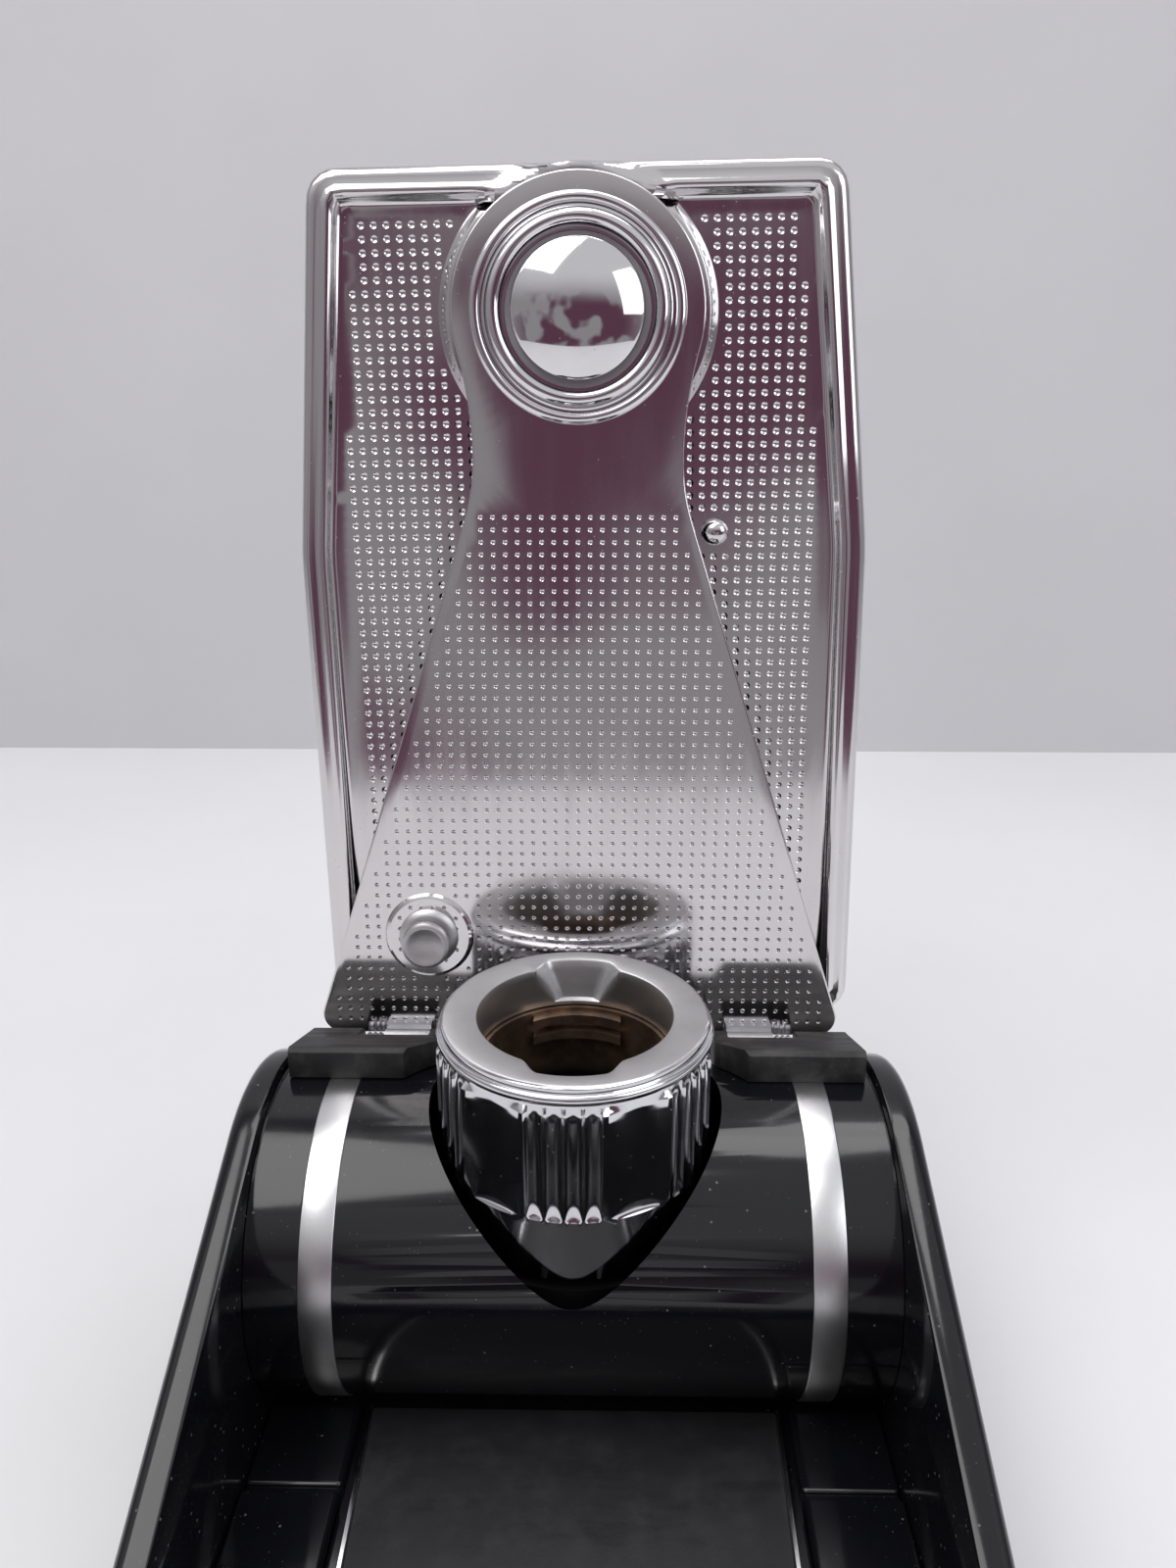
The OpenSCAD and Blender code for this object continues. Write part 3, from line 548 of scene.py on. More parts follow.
class BowlTree:
    """A Geometry Nodes tree that sets a small two-step bowl on every vertex of its mesh."""

    def __init__(self) -> None:
        """Builds the tree with its named inputs."""
        self.group = bpy.data.node_groups.new("bowls", "GeometryNodeTree")
        face = self.group.interface
        face.new_socket("Geometry", in_out="INPUT", socket_type="NodeSocketGeometry")
        self.keys = {}
        for name, kind in (("Radius", "NodeSocketFloat"), ("Depth", "NodeSocketFloat"),
                           ("Sides", "NodeSocketInt"), ("Finish", "NodeSocketMaterial")):
            self.keys[name] = face.new_socket(name, in_out="INPUT", socket_type=kind).identifier
        face.new_socket("Geometry", in_out="OUTPUT", socket_type="NodeSocketGeometry")
        source = self.group.nodes.new("NodeGroupInput")
        mid_r = self.times(source.outputs["Radius"], 0.6)
        low_d = self.times(source.outputs["Depth"], 0.25)
        top_d = self.times(source.outputs["Depth"], 0.75)
        upper = self.cone(source, source.outputs["Radius"], mid_r, top_d)
        lift = self.node("ShaderNodeCombineXYZ", {"Z": low_d})
        raised = self.node("GeometryNodeTransform", {"Geometry": upper, "Translation": lift})
        lower = self.cone(source, mid_r, 0.0, low_d)
        joined = self.group.nodes.new("GeometryNodeJoinGeometry")
        for part in (raised, lower):
            self.group.links.new(part, joined.inputs[0])
        spread = self.node("GeometryNodeInstanceOnPoints",
                           {"Points": source.outputs["Geometry"], "Instance": joined.outputs[0],
                            "Rotation": (math.radians(90), 0.0, 0.0)})
        real = self.node("GeometryNodeRealizeInstances", {"Geometry": spread})
        done = self.node("GeometryNodeSetMaterial",
                         {"Geometry": real, "Material": source.outputs["Finish"]})
        sink = self.group.nodes.new("NodeGroupOutput")
        self.group.links.new(done, sink.inputs["Geometry"])

    def node(self, kind: str, inputs: dict, output: int = 0) -> bpy.types.NodeSocket:
        """Adds a node with its inputs and returns one output."""
        made = self.group.nodes.new(kind)
        for key, value in inputs.items():
            if isinstance(value, bpy.types.NodeSocket):
                self.group.links.new(value, made.inputs[key])
            else:
                made.inputs[key].default_value = value
        return made.outputs[output]

    def times(self, socket: bpy.types.NodeSocket, factor: float) -> bpy.types.NodeSocket:
        """A size times a constant."""
        made = self.group.nodes.new("ShaderNodeMath")
        made.operation = "MULTIPLY"
        self.group.links.new(socket, made.inputs[0])
        made.inputs[1].default_value = factor
        return made.outputs[0]

    def cone(self, source: bpy.types.Node, top: object, bottom: object,
             deep: bpy.types.NodeSocket) -> bpy.types.NodeSocket:
        """An open cone or frustum, wide end up."""
        made = self.group.nodes.new("GeometryNodeMeshCone")
        made.fill_type = "NONE"
        self.group.links.new(source.outputs["Sides"], made.inputs["Vertices"])
        for key, value in (("Radius Top", top), ("Radius Bottom", bottom), ("Depth", deep)):
            if isinstance(value, bpy.types.NodeSocket):
                self.group.links.new(value, made.inputs[key])
            else:
                made.inputs[key].default_value = value
        return made.outputs["Mesh"]

    def bake(self, points: list[tuple], radius: float, depth: float, sides: int,
             finish: bpy.types.Material) -> tuple[list, list]:
        """Sets bowls on points, in millimetres.

        Args:
            points: the bowls' lowest points.
            radius: the rim's radius.
            depth: the bowl's depth.
            sides: its sides.
            finish: its material.

        Returns:
            The vertices and the faces of the plain mesh.
        """
        mesh = bpy.data.meshes.new("bowl_points")
        mesh.from_pydata(points, [], [])
        thing = bpy.data.objects.new("bowl_points", mesh)
        bpy.context.collection.objects.link(thing)
        mod = thing.modifiers.new("bowls", "NODES")
        mod.node_group = self.group
        for name, value in (("Radius", radius), ("Depth", depth), ("Sides", sides), ("Finish", finish)):
            mod[self.keys[name]] = value
        graph = bpy.context.evaluated_depsgraph_get()
        baked = bpy.data.meshes.new_from_object(thing.evaluated_get(graph))
        made = [tuple(v.co) for v in baked.vertices], [list(p.vertices) for p in baked.polygons]
        bpy.data.objects.remove(thing)
        log.info("bowls: %d set, %d faces", len(points), len(made[1]))
        return made


@dataclass(frozen=True)
class Dimples:
    """A square grid of small pressed dimples on a sheet drawn in x and z."""

    pitch: float = 2.0
    radius: float = 0.46
    deep: float = 0.17
    sides: int = 8

    def centres(self, loop: list[Point], margin: float, top: float, keep_off: list) -> list[Point]:
        """Grid points inside a loop.

        Args:
            loop: the field's outline.
            margin: the least distance from the outline.
            top: the highest row.
            keep_off: circles (x, y, r) that stay clear.

        Returns:
            The dimples' centres.
        """
        low = min(y for _, y in loop)
        wide = max(x for x, _ in loop)
        out = []
        for j in range(int((top - low) / self.pitch) + 1):
            for i in range(-int(wide / self.pitch) - 1, int(wide / self.pitch) + 2):
                p = (i * self.pitch, top - j * self.pitch)
                if any(math.dist(p, c[:2]) < c[2] + self.radius + 0.15 for c in keep_off):
                    continue
                if inside(p, loop) and clearance(p, loop) > margin:
                    out.append(p)
        return out

    def sheet(self, shell: Shell, loop: list[Point], holes: list, centres: list[Point],
              face_y: float, tag: int = 0) -> None:
        """Adds a flat sheet with a crater at each centre.

        Args:
            shell: the shell to add to.
            loop: the sheet's outline.
            holes: closed loops cut from the sheet.
            centres: the dimples' centres.
            face_y: the sheet's depth.
            tag: its material index.
        """
        points, edges = [], []
        for ring in [loop, *holes]:
            base = len(points)
            points += [Vector(p) for p in ring]
            edges += [(base + k, base + (k + 1) % len(ring)) for k in range(len(ring))]
        unit = [(math.cos(2 * math.pi * k / self.sides), math.sin(2 * math.pi * k / self.sides))
                for k in range(self.sides)]
        for cx, cy in centres:
            base = len(points)
            points += [Vector((cx + self.radius * u, cy + self.radius * v)) for u, v in unit]
            edges += [(base + k, base + (k + 1) % self.sides) for k in range(self.sides)]
        verts, _, faces, _, _, _ = delaunay_2d_cdt(points, edges, [], 0, 1e-6)
        grid = {}
        for cx, cy in centres:
            grid.setdefault((round(cx), round(cy)), []).append((cx, cy))
        keep = []
        for f in faces:
            mid = sum((verts[k] for k in f), Vector((0, 0))) / len(f)
            cell = (round(mid.x), round(mid.y))
            near = [c for dx in (-1, 0, 1) for dy in (-1, 0, 1)
                    for c in grid.get((cell[0] + dx, cell[1] + dy), [])]
            if any((mid.x - c[0]) ** 2 + (mid.y - c[1]) ** 2 < (self.radius * 0.93) ** 2 for c in near):
                continue
            if inside(tuple(mid), loop) and not any(inside(tuple(mid), h) for h in holes):
                keep.append(list(f))
        shell.add([(v.x, face_y, v.y) for v in verts], keep, tag)
        if centres:
            finish = bpy.data.materials["sheet_chrome"]
            bowls = BowlTree().bake([(x, face_y + self.deep, z) for x, z in centres], self.radius,
                                    self.deep, self.sides, finish)
            shell.add(*bowls, tag)


# ---- sizes shared by the sub-assemblies, in millimetres ---------------------------------------------


@dataclass(frozen=True)
class Layout:
    """Places and sizes that several sub-assemblies share, read from the CAD frame."""

    drum_y: float = 33.0
    drum_z: float = 31.0
    collar_y: float = 30.6
    hinge_y: float = 50.5
    hinge_z: float = 55.5
    pivot_h: float = 125.0
    lean: float = 3.5
    face_y: float = 3.0
    rest_turn: float = 1.0

    def drum(self) -> Matrix:
        """The drum's frame, with its axis along x at the origin."""
        return Matrix.Translation((0, self.drum_y * MM, self.drum_z * MM))

    def collar(self) -> Matrix:
        """The collar's frame: its axis at x = y = 0."""
        return Matrix.Translation((0, self.collar_y * MM, 0))

    def pivot(self) -> Matrix:
        """The arm's frame: x across, y back from the arm's face, z up from the pivot."""
        return (Matrix.Translation((0, self.hinge_y * MM, self.hinge_z * MM))
                @ Matrix.Rotation(math.radians(-self.lean), 4, "X")
                @ Matrix.Translation((0, self.face_y * MM, self.pivot_h * MM)))

    def plate(self) -> Matrix:
        """The plate's frame, turned about the pivot."""
        return self.pivot() @ Matrix.Rotation(math.radians(-self.rest_turn), 4, "Y")


# ---- the arm and its pivot ------------------------------------------------------------------------


@dataclass(frozen=True)
class Roll:
    """A rounded roll of a turned profile: mid radius, half width, foot and height."""

    mid: float
    half: float
    foot: float
    height: float

    def over(self, last: int, steps: int = 12) -> list[Point]:
        """Points over the roll from its outer side inwards, as (radius, y)."""
        turns = [math.pi * k / steps for k in range(1, last + 1)]
        return [(self.mid + self.half * math.cos(a), self.foot - self.height * math.sin(a))
                for a in turns]


@dataclass
class Arm:
    """The fan-shaped dimpled arm, its dress ring, dome button and index pin."""

    shop: Workshop
    layout: Layout
    head_r: float = 20.1
    neck_half: float = 17.1
    neck_drop: float = 22.0
    flare_a: float = 17.9
    bend_r: float = 33.0
    corner_r: float = 3.5
    drop: float = 124.4
    sheet_t: float = 1.2
    edge_r: float = 0.35
    first_row: float = -31.5
    margin: float = 2.1
    hole_r: float = 11.6
    ring_seat_r: float = 15.0
    index: Point = (-26.9, -105.0)
    plateau_r: float = 8.0
    plateau_h: float = 0.8
    ring_out: float = 17.1
    ring_in: float = 12.1
    outer_roll: Roll = Roll(16.15, 0.95, -0.35, 0.85)
    inner_roll: Roll = Roll(13.28, 1.17, -1.3, 1.1)
    groove: Point = (15.15, 14.75)
    groove_y: float = -0.45
    dome_r: float = 10.5
    dome_foot: float = -1.6
    dome_crown: float = -4.6
    dome_fall: float = 2.25
    stem_r: float = 4.0
    stem_end: float = 8.3
    clip_r: float = 3.3
    clip_room: Point = (7.4, 8.1)
    pin_face: float = -5.5
    pin_r: float = 1.9
    pin_end: float = 2.2
    dimples: Dimples = field(default_factory=lambda: Dimples(radius=0.43, deep=0.145))

    def outline(self, inset: float = 0.0) -> list[Point]:
        """The arm's outline, pulled in by inset, counter-clockwise from the neck's right."""
        upper = (self.neck_half ** 2 + self.neck_drop ** 2 - self.head_r ** 2) / (
            2 * (self.head_r - self.neck_half))
        ux = self.neck_half + upper
        tangent = math.degrees(math.atan2(self.neck_drop, ux))
        lx = self.neck_half + self.bend_r
        fa = math.radians(self.flare_a)
        cx = (self.neck_half + (self.drop - self.corner_r - self.neck_drop - self.bend_r * math.tan(fa / 2))
              * math.tan(fa) - self.corner_r / math.cos(fa))
        side = (arc(0, 0, self.head_r - inset, 90, -tangent, 26)
                + arc(ux, -self.neck_drop, upper + inset, 180 - tangent, 180, 8)[1:]
                + arc(lx, -self.neck_drop, self.bend_r + inset, 180, 180 + self.flare_a, 8)[1:]
                + arc(cx, self.corner_r - self.drop, self.corner_r - inset, self.flare_a, -90, 8))
        return side + mirrored(side)[:-1]

    def build(self) -> None:
        """Makes the arm's sheet and every piece on it."""
        self.sheet()
        self.ring()
        self.button()
        self.index_pin()

    def sheet(self) -> None:
        """The arm itself: dimpled face, rounded edge, plain back and raised plateau."""
        shell = Shell(self.layout.pivot())
        e, t = self.edge_r, self.sheet_t
        face = self.outline(e)
        hole = circle(0, 0, self.ring_seat_r, 48)
        ix, iz = self.index
        seat = circle(ix, iz, self.plateau_r, 40)
        spots = self.dimples.centres(self.outline(), self.margin, self.first_row,
                                     [(ix, iz, self.plateau_r + 0.3)])
        self.dimples.sheet(shell, face, [hole, seat], spots, 0.0)
        rings = [[(x, e * (1 - math.cos(math.radians(a))), z)
                  for x, z in self.outline(e * (1 - math.sin(math.radians(a))))] for a in range(0, 91, 15)]
        rings += [[(x, t - e, z) for x, z in self.outline(0.0)], [(x, t, z) for x, z in face]]
        shell.loft(rings)
        bore = circle(0, 0, self.hole_r, 48)
        shell.loft([[(x, 0, z) for x, z in hole], [(x, 0, z) for x, z in bore],
                    [(x, t, z) for x, z in bore]])
        back = Dimples(radius=0.4)
        pocket = circle(ix, iz, self.plateau_r - t, 40)
        pin_hole = circle(ix, iz, 3.0, 24)
        back.sheet(shell, face, [bore, pocket], [], t)
        self.plateau(shell, seat, pocket, pin_hole)
        self.shop.piece("arm_sheet", shell.verts, shell.faces, ["sheet_chrome"], "arm", "swing_arm",
                        smooth=28)

    def plateau(self, shell: Shell, seat: list[Point], pocket: list[Point], bore: list[Point]) -> None:
        """The raised round plateau with its own dimples, joined to the sheet's front and back."""
        ix, iz = self.index
        h, r = self.plateau_h, self.plateau_r

        def ring(radius: float, y: float) -> list[tuple]:
            """A ring about the index pin."""
            return [(ix + radius * (x - ix) / r, y, iz + radius * (z - iz) / r) for x, z in seat]

        shell.loft([ring(r, 0), ring(r - 0.12, -0.25 * h), ring(r - 0.35, -0.7 * h), ring(r - 0.8, -h)])
        crown = [(ix + (r - 0.8) * (x - ix) / r, iz + (r - 0.8) * (z - iz) / r) for x, z in seat]
        spots = [(self.dimples.pitch * i, self.first_row - self.dimples.pitch * j)
                 for i in range(-20, 0) for j in range(26, 44)]
        spots = [p for p in spots if 3.6 < math.dist(p, (ix, iz)) < r - 1.5]
        self.dimples.sheet(shell, crown, [bore], spots, -h)
        shell.loft([[(x, -h, z) for x, z in bore], [(x, self.sheet_t - h, z) for x, z in bore]])
        t = self.sheet_t
        shell.loft([[(x, y, z) for x, z in pocket] for y in (t, t - h)])
        flat = Dimples()
        flat.sheet(shell, pocket, [bore], [], self.sheet_t - h)

    def turned(self, name: str, profile: list[Point], centre: Point, slot: str, body: str, node: str,
               closed: bool, smooth: float = 40.0, n: int = 96) -> None:
        """A body turned about the y direction.

        Args:
            name: the piece's name.
            profile: (radius, y) points.
            centre: the axis in x and z.
            slot: its finish.
            body: the body it rides on.
            node: the CAD node it replaces.
            closed: whether the profile closes on itself, as a ring does.
            smooth: the sharpest smooth angle.
            n: segments round the axis.
        """
        shell = Shell(self.layout.pivot())
        rings = [[(centre[0] + r * math.cos(2 * math.pi * k / n), y,
                   centre[1] + r * math.sin(2 * math.pi * k / n)) for k in range(n)]
                 for r, y in profile if r > 1e-6]
        shell.loft(rings, closed=closed)
        if not closed:
            for ring, (r, y) in ((rings[0], profile[0]), (rings[-1], profile[-1])):
                shell.fan(ring, (centre[0], y, centre[1]))
        self.shop.piece(name, shell.verts, shell.faces, [slot], body, node, smooth=smooth)

    def ring(self) -> None:
        """The dress ring: a low outer roll, a groove and a higher inner roll."""
        rolls = [(self.ring_out, 0.0), (self.ring_out, self.outer_roll.foot)]
        rolls += self.outer_roll.over(10)
        rolls += [(r, self.groove_y) for r in self.groove] + [(14.45, -0.75)]
        rolls += self.inner_roll.over(11)
        rolls += [(self.ring_in, -1.2), (self.ring_in, 0.0)]
        self.turned("dress_ring", rolls, (0, 0), "ring_chrome", "arm", "pivot_ring", True, 60)

    def button(self) -> None:
        """The domed cap with its rounded skirt and stem."""
        foot, crown, r, stem = self.dome_foot, self.dome_crown, self.dome_r, self.stem_r
        clip_in, clip_out = self.clip_room
        profile = [((r - 0.5) * s, crown + self.dome_fall * s ** 2.2)
                   for s in [k / 14 for k in range(15)]]
        profile += [(r - 0.16, crown + 2.42), (r, crown + 2.62), (r, foot), (stem, foot),
                    (stem, clip_in), (self.clip_r, clip_in), (self.clip_r, clip_out),
                    (stem, clip_out), (stem, self.stem_end), (0.0, self.stem_end)]
        trimmed = [(max(a, 0.02), b) for a, b in profile]
        self.turned("dome_button", trimmed, (0, 0), "mirror_chrome", "button", "pivot_button",
                    False, 50)

    def index_pin(self) -> None:
        """The flared bush and the pin with its dished head."""
        bush = [(2.95, 1.4), (2.95, -0.8), (5.3, -0.8), (5.3, -1.0), (5.0, -1.35), (4.45, -1.65),
                (4.1, -1.8), (1.95, -1.8), (1.95, 1.4)]
        self.turned("index_bush_turned", bush, self.index, "satin_pin", "arm", "index_bush",
                    True, 35, 64)
        face, r = self.pin_face, self.pin_r
        head = [(0.02, face + 0.62), (1.0, face + 0.57), (2.0, face + 0.42), (2.9, face + 0.16),
                (3.2, face + 0.04), (3.45, face), (3.8, face + 0.04), (4.12, face + 0.22),
                (4.25, face + 0.5), (4.25, -4.1), (4.05, -3.9), (r, -3.9), (r, 1.35), (1.4, 1.35),
                (1.4, 1.95), (r, 1.95), (r, self.pin_end), (0.02, self.pin_end)]
        self.turned("index_pin_turned", head, self.index, "satin_pin", "pin", "index_pin",
                    False, 35, 64)


# ---- the swivel plate -----------------------------------------------------------------------------


@dataclass
class Plate:
    """The pressed pan behind the arm: rolled edge, border, stepped ridge, field, boss and bump."""

    shop: Workshop
    layout: Layout
    half_top: float = 42.5
    half_low: float = 47.5
    rise: float = 22.0
    kink: float = 39.7
    drop: float = 122.0
    corner_r: float = 5.0
    border: float = 3.0
    field_y: float = 4.2
    back: float = 11.6
    roll: float = 1.7
    sheet_t: float = 1.0
    step_w: float = 5.5
    boss_r: float = 21.5
    boss_y: float = 2.0
    bore_r: float = 9.05
    bump: Point = (22.1, -34.3)
    bump_r: float = 2.3
    first_row: float = 13.6
    ring_n: int = 260
    dimples: Dimples = field(default_factory=lambda: Dimples(radius=0.58, deep=0.20))

    def outline(self, inset: float) -> list[Point]:
        """The pan's outline pulled in by inset."""
        r = max(self.corner_r - inset, 0.8)
        kink = arc(self.half_low - inset - 60, -self.kink, 60, 3.6, 0, 6)
        side = (arc(self.half_top - inset - r, self.rise - inset - r, r, 90, 4, 10)
                + kink
                + arc(self.half_low - inset - r, inset + r - self.drop, r, 0, -90, 10))
        return resampled(side + mirrored(side), self.ring_n)

    def ring(self, inset: float, y: float) -> list[tuple]:
        """The outline at an inset and a depth."""
        return [(x, y, z) for x, z in self.outline(inset)]

    def build(self) -> None:
        """Makes the pan."""
        shell = Shell(self.layout.plate())
        roll, b = self.roll, self.border
        wall = [(0.0, self.back), (0.0, b + roll)]
        wall += [(roll * (1 - math.cos(a)), b + roll * (1 - math.sin(a)))
                 for a in [math.pi / 2 * k / 6 for k in range(1, 7)]]
        f = self.field_y
        ridge = [(2.6, b), (3.0, b - 0.12), (3.35, b - 0.34), (3.75, b - 0.40), (4.15, b - 0.28),
                 (4.5, b + 0.05), (4.75, b + 0.45), (5.05, f - 0.35), (5.4, f - 0.1), (5.9, f)]
        rings = [self.ring(i, y) for i, y in wall + ridge]
        rings = [self.bulged(r) for r in rings]
        shell.loft(rings)
        inner = [(x, z) for x, _, z in rings[-1]]
        boss = circle(0, 0, self.boss_r + 0.9, 96)
        bx, bz = self.bump
        bump = circle(bx, bz, self.bump_r, 20)
        spots = self.dimples.centres(inner, 1.7, self.first_row,
                                     [(0, 0, self.boss_r + 0.9), (bx, bz, self.bump_r)])
        self.dimples.sheet(shell, inner, [self.within(boss, inner), bump], spots, f)
        self.boss(shell, self.within(boss, inner))
        self.stop_bump(shell)
        self.back_face(shell)
        self.shop.piece("pan", shell.verts, shell.faces, ["sheet_chrome"], "plate", "swivel_plate",
                        smooth=28)

    def bulged(self, ring: list[tuple]) -> list[tuple]:
        """Lifts ridge points over the boss so that its circle runs through the ridge."""
        out = []
        for x, y, z in ring:
            d = math.hypot(x, z)
            if d < self.boss_r + 0.9 and z > 0:
                lift = min(1.0, (self.boss_r + 0.9 - d) / 0.9)
                y = min(y, y + (self.boss_y - y) * lift)
            out.append((x, y, z))
        return out

    def within(self, loop: list[Point], inner: list[Point]) -> list[Point]:
        """A boss loop kept inside the field's outline at its top."""
        roof = max(z for _, z in inner) - 0.25
        return [(x, min(z, roof)) for x, z in loop]

    def boss(self, shell: Shell, foot: list[Point]) -> None:
        """The raised disc round the pivot, with a shallow turned step and the bore."""

        def ring(r: float, y: float) -> list[tuple]:
            """A ring of the boss, flattened under the field's top edge."""
            scale = r / (self.boss_r + 0.9)
            return [(x * scale, y, z * scale) for x, z in foot]

        rings = [[(x, self.field_y, z) for x, z in foot]]
        rings += [ring(self.boss_r + 0.5, self.field_y - 0.5), ring(self.boss_r, self.boss_y + 0.7),
                  ring(self.boss_r - 0.5, self.boss_y + 0.15), ring(self.boss_r - 1.0, self.boss_y),
                  ring(16.0, self.boss_y)]
        n = len(foot)
        bore = circle(0, 0, self.bore_r, n)
        rings += [[(x, y, z) for x, z in bore] for y in (self.boss_y, self.boss_y + self.sheet_t)]
        shell.loft(rings)

    def stop_bump(self, shell: Shell) -> None:
        """The small round stop pressed up beside the arm."""
        bx, bz = self.bump
        rows = [(self.bump_r, self.field_y), (self.bump_r - 0.12, 3.0), (self.bump_r - 0.3, 0.9),
                (self.bump_r - 0.75, 0.2), (self.bump_r - 1.35, -0.15)]
        rings = [[(bx + r * math.cos(2 * math.pi * k / 20), y, bz + r * math.sin(2 * math.pi * k / 20))
                  for k in range(20)] for r, y in rows]
        shell.loft(rings)
        shell.fan(rings[-1], (bx, -0.25, bz))

    def back_face(self, shell: Shell) -> None:
        """The pan's hollow back: lip, inner wall and the sheet's rear."""
        t = self.sheet_t
        rear = self.field_y + t
        rings = [self.ring(0.0, self.back), self.ring(t, self.back), self.ring(t, self.border + t + 0.6),
                 self.ring(t + 0.6, self.border + t), self.ring(self.step_w - t, self.border + t),
                 self.ring(self.step_w, rear)]
        shell.loft(rings)
        hole = circle(0, 0, 15.0, 48)
        Dimples().sheet(shell, self.outline(self.step_w), [hole], [], rear)
        n = len(hole)
        bore = circle(0, 0, self.bore_r, n)
        front = self.boss_y + t
        shell.loft([[(x, rear, z) for x, z in hole], [(x, front, z) for x, z in hole],
                    [(x, front, z) for x, z in bore]])


# ---- the collar -----------------------------------------------------------------------------------


@dataclass
class Collar:
    """The chrome twist collar: turned rim, bead, scalloped crown, flutes and flats."""

    shop: Workshop
    layout: Layout
    r: float = 22.5
    rim_z: float = 73.7
    foot_z: float = 39.8
    grip_top: float = 69.3
    grip_foot: float = 51.0
    mouth_r: float = 15.75
    lip: float = 7.4
    bore_r: float = 17.55
    notch_half: float = 7.8
    notch_foot_half: float = 4.1
    notch_deep: float = 2.4
    crown: float = 1.1
    grip_rows: tuple = (46.0, 50.0, 51.0, 51.3, 51.8, 52.4, 53.1, 54.0, 58.0, 64.0, 67.6)
    neck_rows: tuple = ((0.95, 70.15), (1.0, 70.6))
    bead_z: float = 71.65
    bead_r: float = 0.62
    bead_h: float = 0.85
    groove_rows: tuple = ((1.0, 72.7), (0.95, 73.1), (1.05, 73.45))
    flutes: int = 4
    n: int = 720

    def grip(self, angle: float, z: float) -> float:
        """The outside radius of the grip band at an angle in degrees, counted from the front."""
        local = (angle + 15.0) % 60.0
        fade = min(1.0, max(0.0, (z - self.grip_foot) / 2.6)) ** 0.5
        if local < 30.0:
            phase = local / 30.0 * self.flutes
            u = (phase % 1.0) * 2 - 1
            hollow = 0.85 * math.sqrt(max(0.0, 1 - u * u * 0.96))
            return self.r - 0.05 - hollow * fade
        turn = math.radians(local - 45.0)
        chord = (self.r - 0.05) * math.cos(math.radians(15.0)) / math.cos(turn)
        return chord * fade + (self.r - 0.15) * (1 - fade)

    def outside(self, z: float) -> list[float]:
        """Radii round the collar at a height within the grips or below them."""
        step = 360.0 / self.n
        if z <= self.grip_foot:
            low = (z - self.foot_z) / (self.grip_foot - self.foot_z)
            return [self.r - 0.15 - 1.1 * (1 - low)] * self.n
        return [self.grip(k * step + 3.0, z) for k in range(self.n)]

    def circle(self, radii: list[float] | float, z: float | list[float]) -> list[tuple]:
        """A ring of points, starting at the front and going round with the angle."""
        out = []
        for k in range(self.n):
            a = 2 * math.pi * k / self.n - math.pi / 2
            r = radii[k] if isinstance(radii, list) else radii
            h = z[k] if isinstance(z, list) else z
            out.append((r * math.cos(a), r * math.sin(a), h))
        return out

    def mouth(self, depth: float) -> list[float]:
        """Radii of the mouth at a depth below the rim, with the two flared notches."""
        share = min(1.0, depth / (self.lip - 0.6))
        half = self.notch_half + (self.notch_foot_half - self.notch_half) * share
        deep = self.notch_deep * (1 - 0.55 * share)
        out = []
        for k in range(self.n):
            a = 2 * math.pi * k / self.n - math.pi / 2
            x = self.mouth_r * math.cos(a)
            swell = max(0.0, 1 - abs(x) / half)
            shape = min(1.0, swell * 2.2)
            out.append(self.mouth_r + deep * (shape * shape * (3 - 2 * shape)))
        return out

    def build(self) -> None:
        """Makes the collar as one closed body with a turned rim."""
        shell = Shell(self.layout.collar())
        rings, tags = [], []

        def row(radii: list[float] | float, z: float | list[float], tag: int) -> None:
            """Adds one ring and the finish of the band that ends there."""
            rings.append(self.circle(radii, z))
            tags.append(tag)

        top = self.outside(self.grip_top)
        row(self.r - 1.2, self.foot_z, 0)
        for z in self.grip_rows:
            row(self.outside(z), z, 0)
        shoulder = [self.grip_top - self.crown * 0.55 * (self.r - a) for a in top]
        row(top, shoulder, 0)
        row([a * 0.45 + (self.r - 0.75) * 0.55 for a in top], [s + 0.45 for s in shoulder], 0)
        for inset, z in self.neck_rows:
            row(self.r - inset, z, 0)
        for k in range(9):
            a = math.pi * (k / 8) - math.pi / 2
            row(self.r - 0.85 + self.bead_r * math.cos(a), self.bead_z + self.bead_h * math.sin(a), 0)
        for inset, z in self.groove_rows:
            row(self.r - inset, z, 0)
        row(self.r - 1.4, self.rim_z - 0.04, 1)
        row(self.r - 1.75, self.rim_z, 1)
        row([m + 0.35 for m in self.mouth(0)], self.rim_z, 1)
        row([m + 0.08 for m in self.mouth(0)], self.rim_z - 0.1, 1)
        for depth in (0.35, 1.6, 3.2, 4.8, 6.0):
            row(self.mouth(depth), self.rim_z - depth, 1)
        row([m - 0.02 for m in self.mouth(6.6)], self.rim_z - 6.7, 1)
        row(self.mouth_r, self.rim_z - 6.85, 1)
        row(self.mouth_r, self.rim_z - self.lip, 1)
        row(self.bore_r, self.rim_z - self.lip, 0)
        row(self.bore_r, self.foot_z, 0)
        n = self.n
        for i, (ring, tag) in enumerate(zip(rings, tags)):
            follow = rings[(i + 1) % len(rings)]
            quads = [[k, (k + 1) % n, n + (k + 1) % n, n + k] for k in range(n)]
            shell.add([*ring, *follow], quads, tag)
        self.shop.piece("twist_collar_body", shell.verts, shell.faces, ["collar_chrome", "collar_rim"],
                        "collar", "twist_collar", "collar_chrome", shell.tags, 28)


# ---- the base -------------------------------------------------------------------------------------


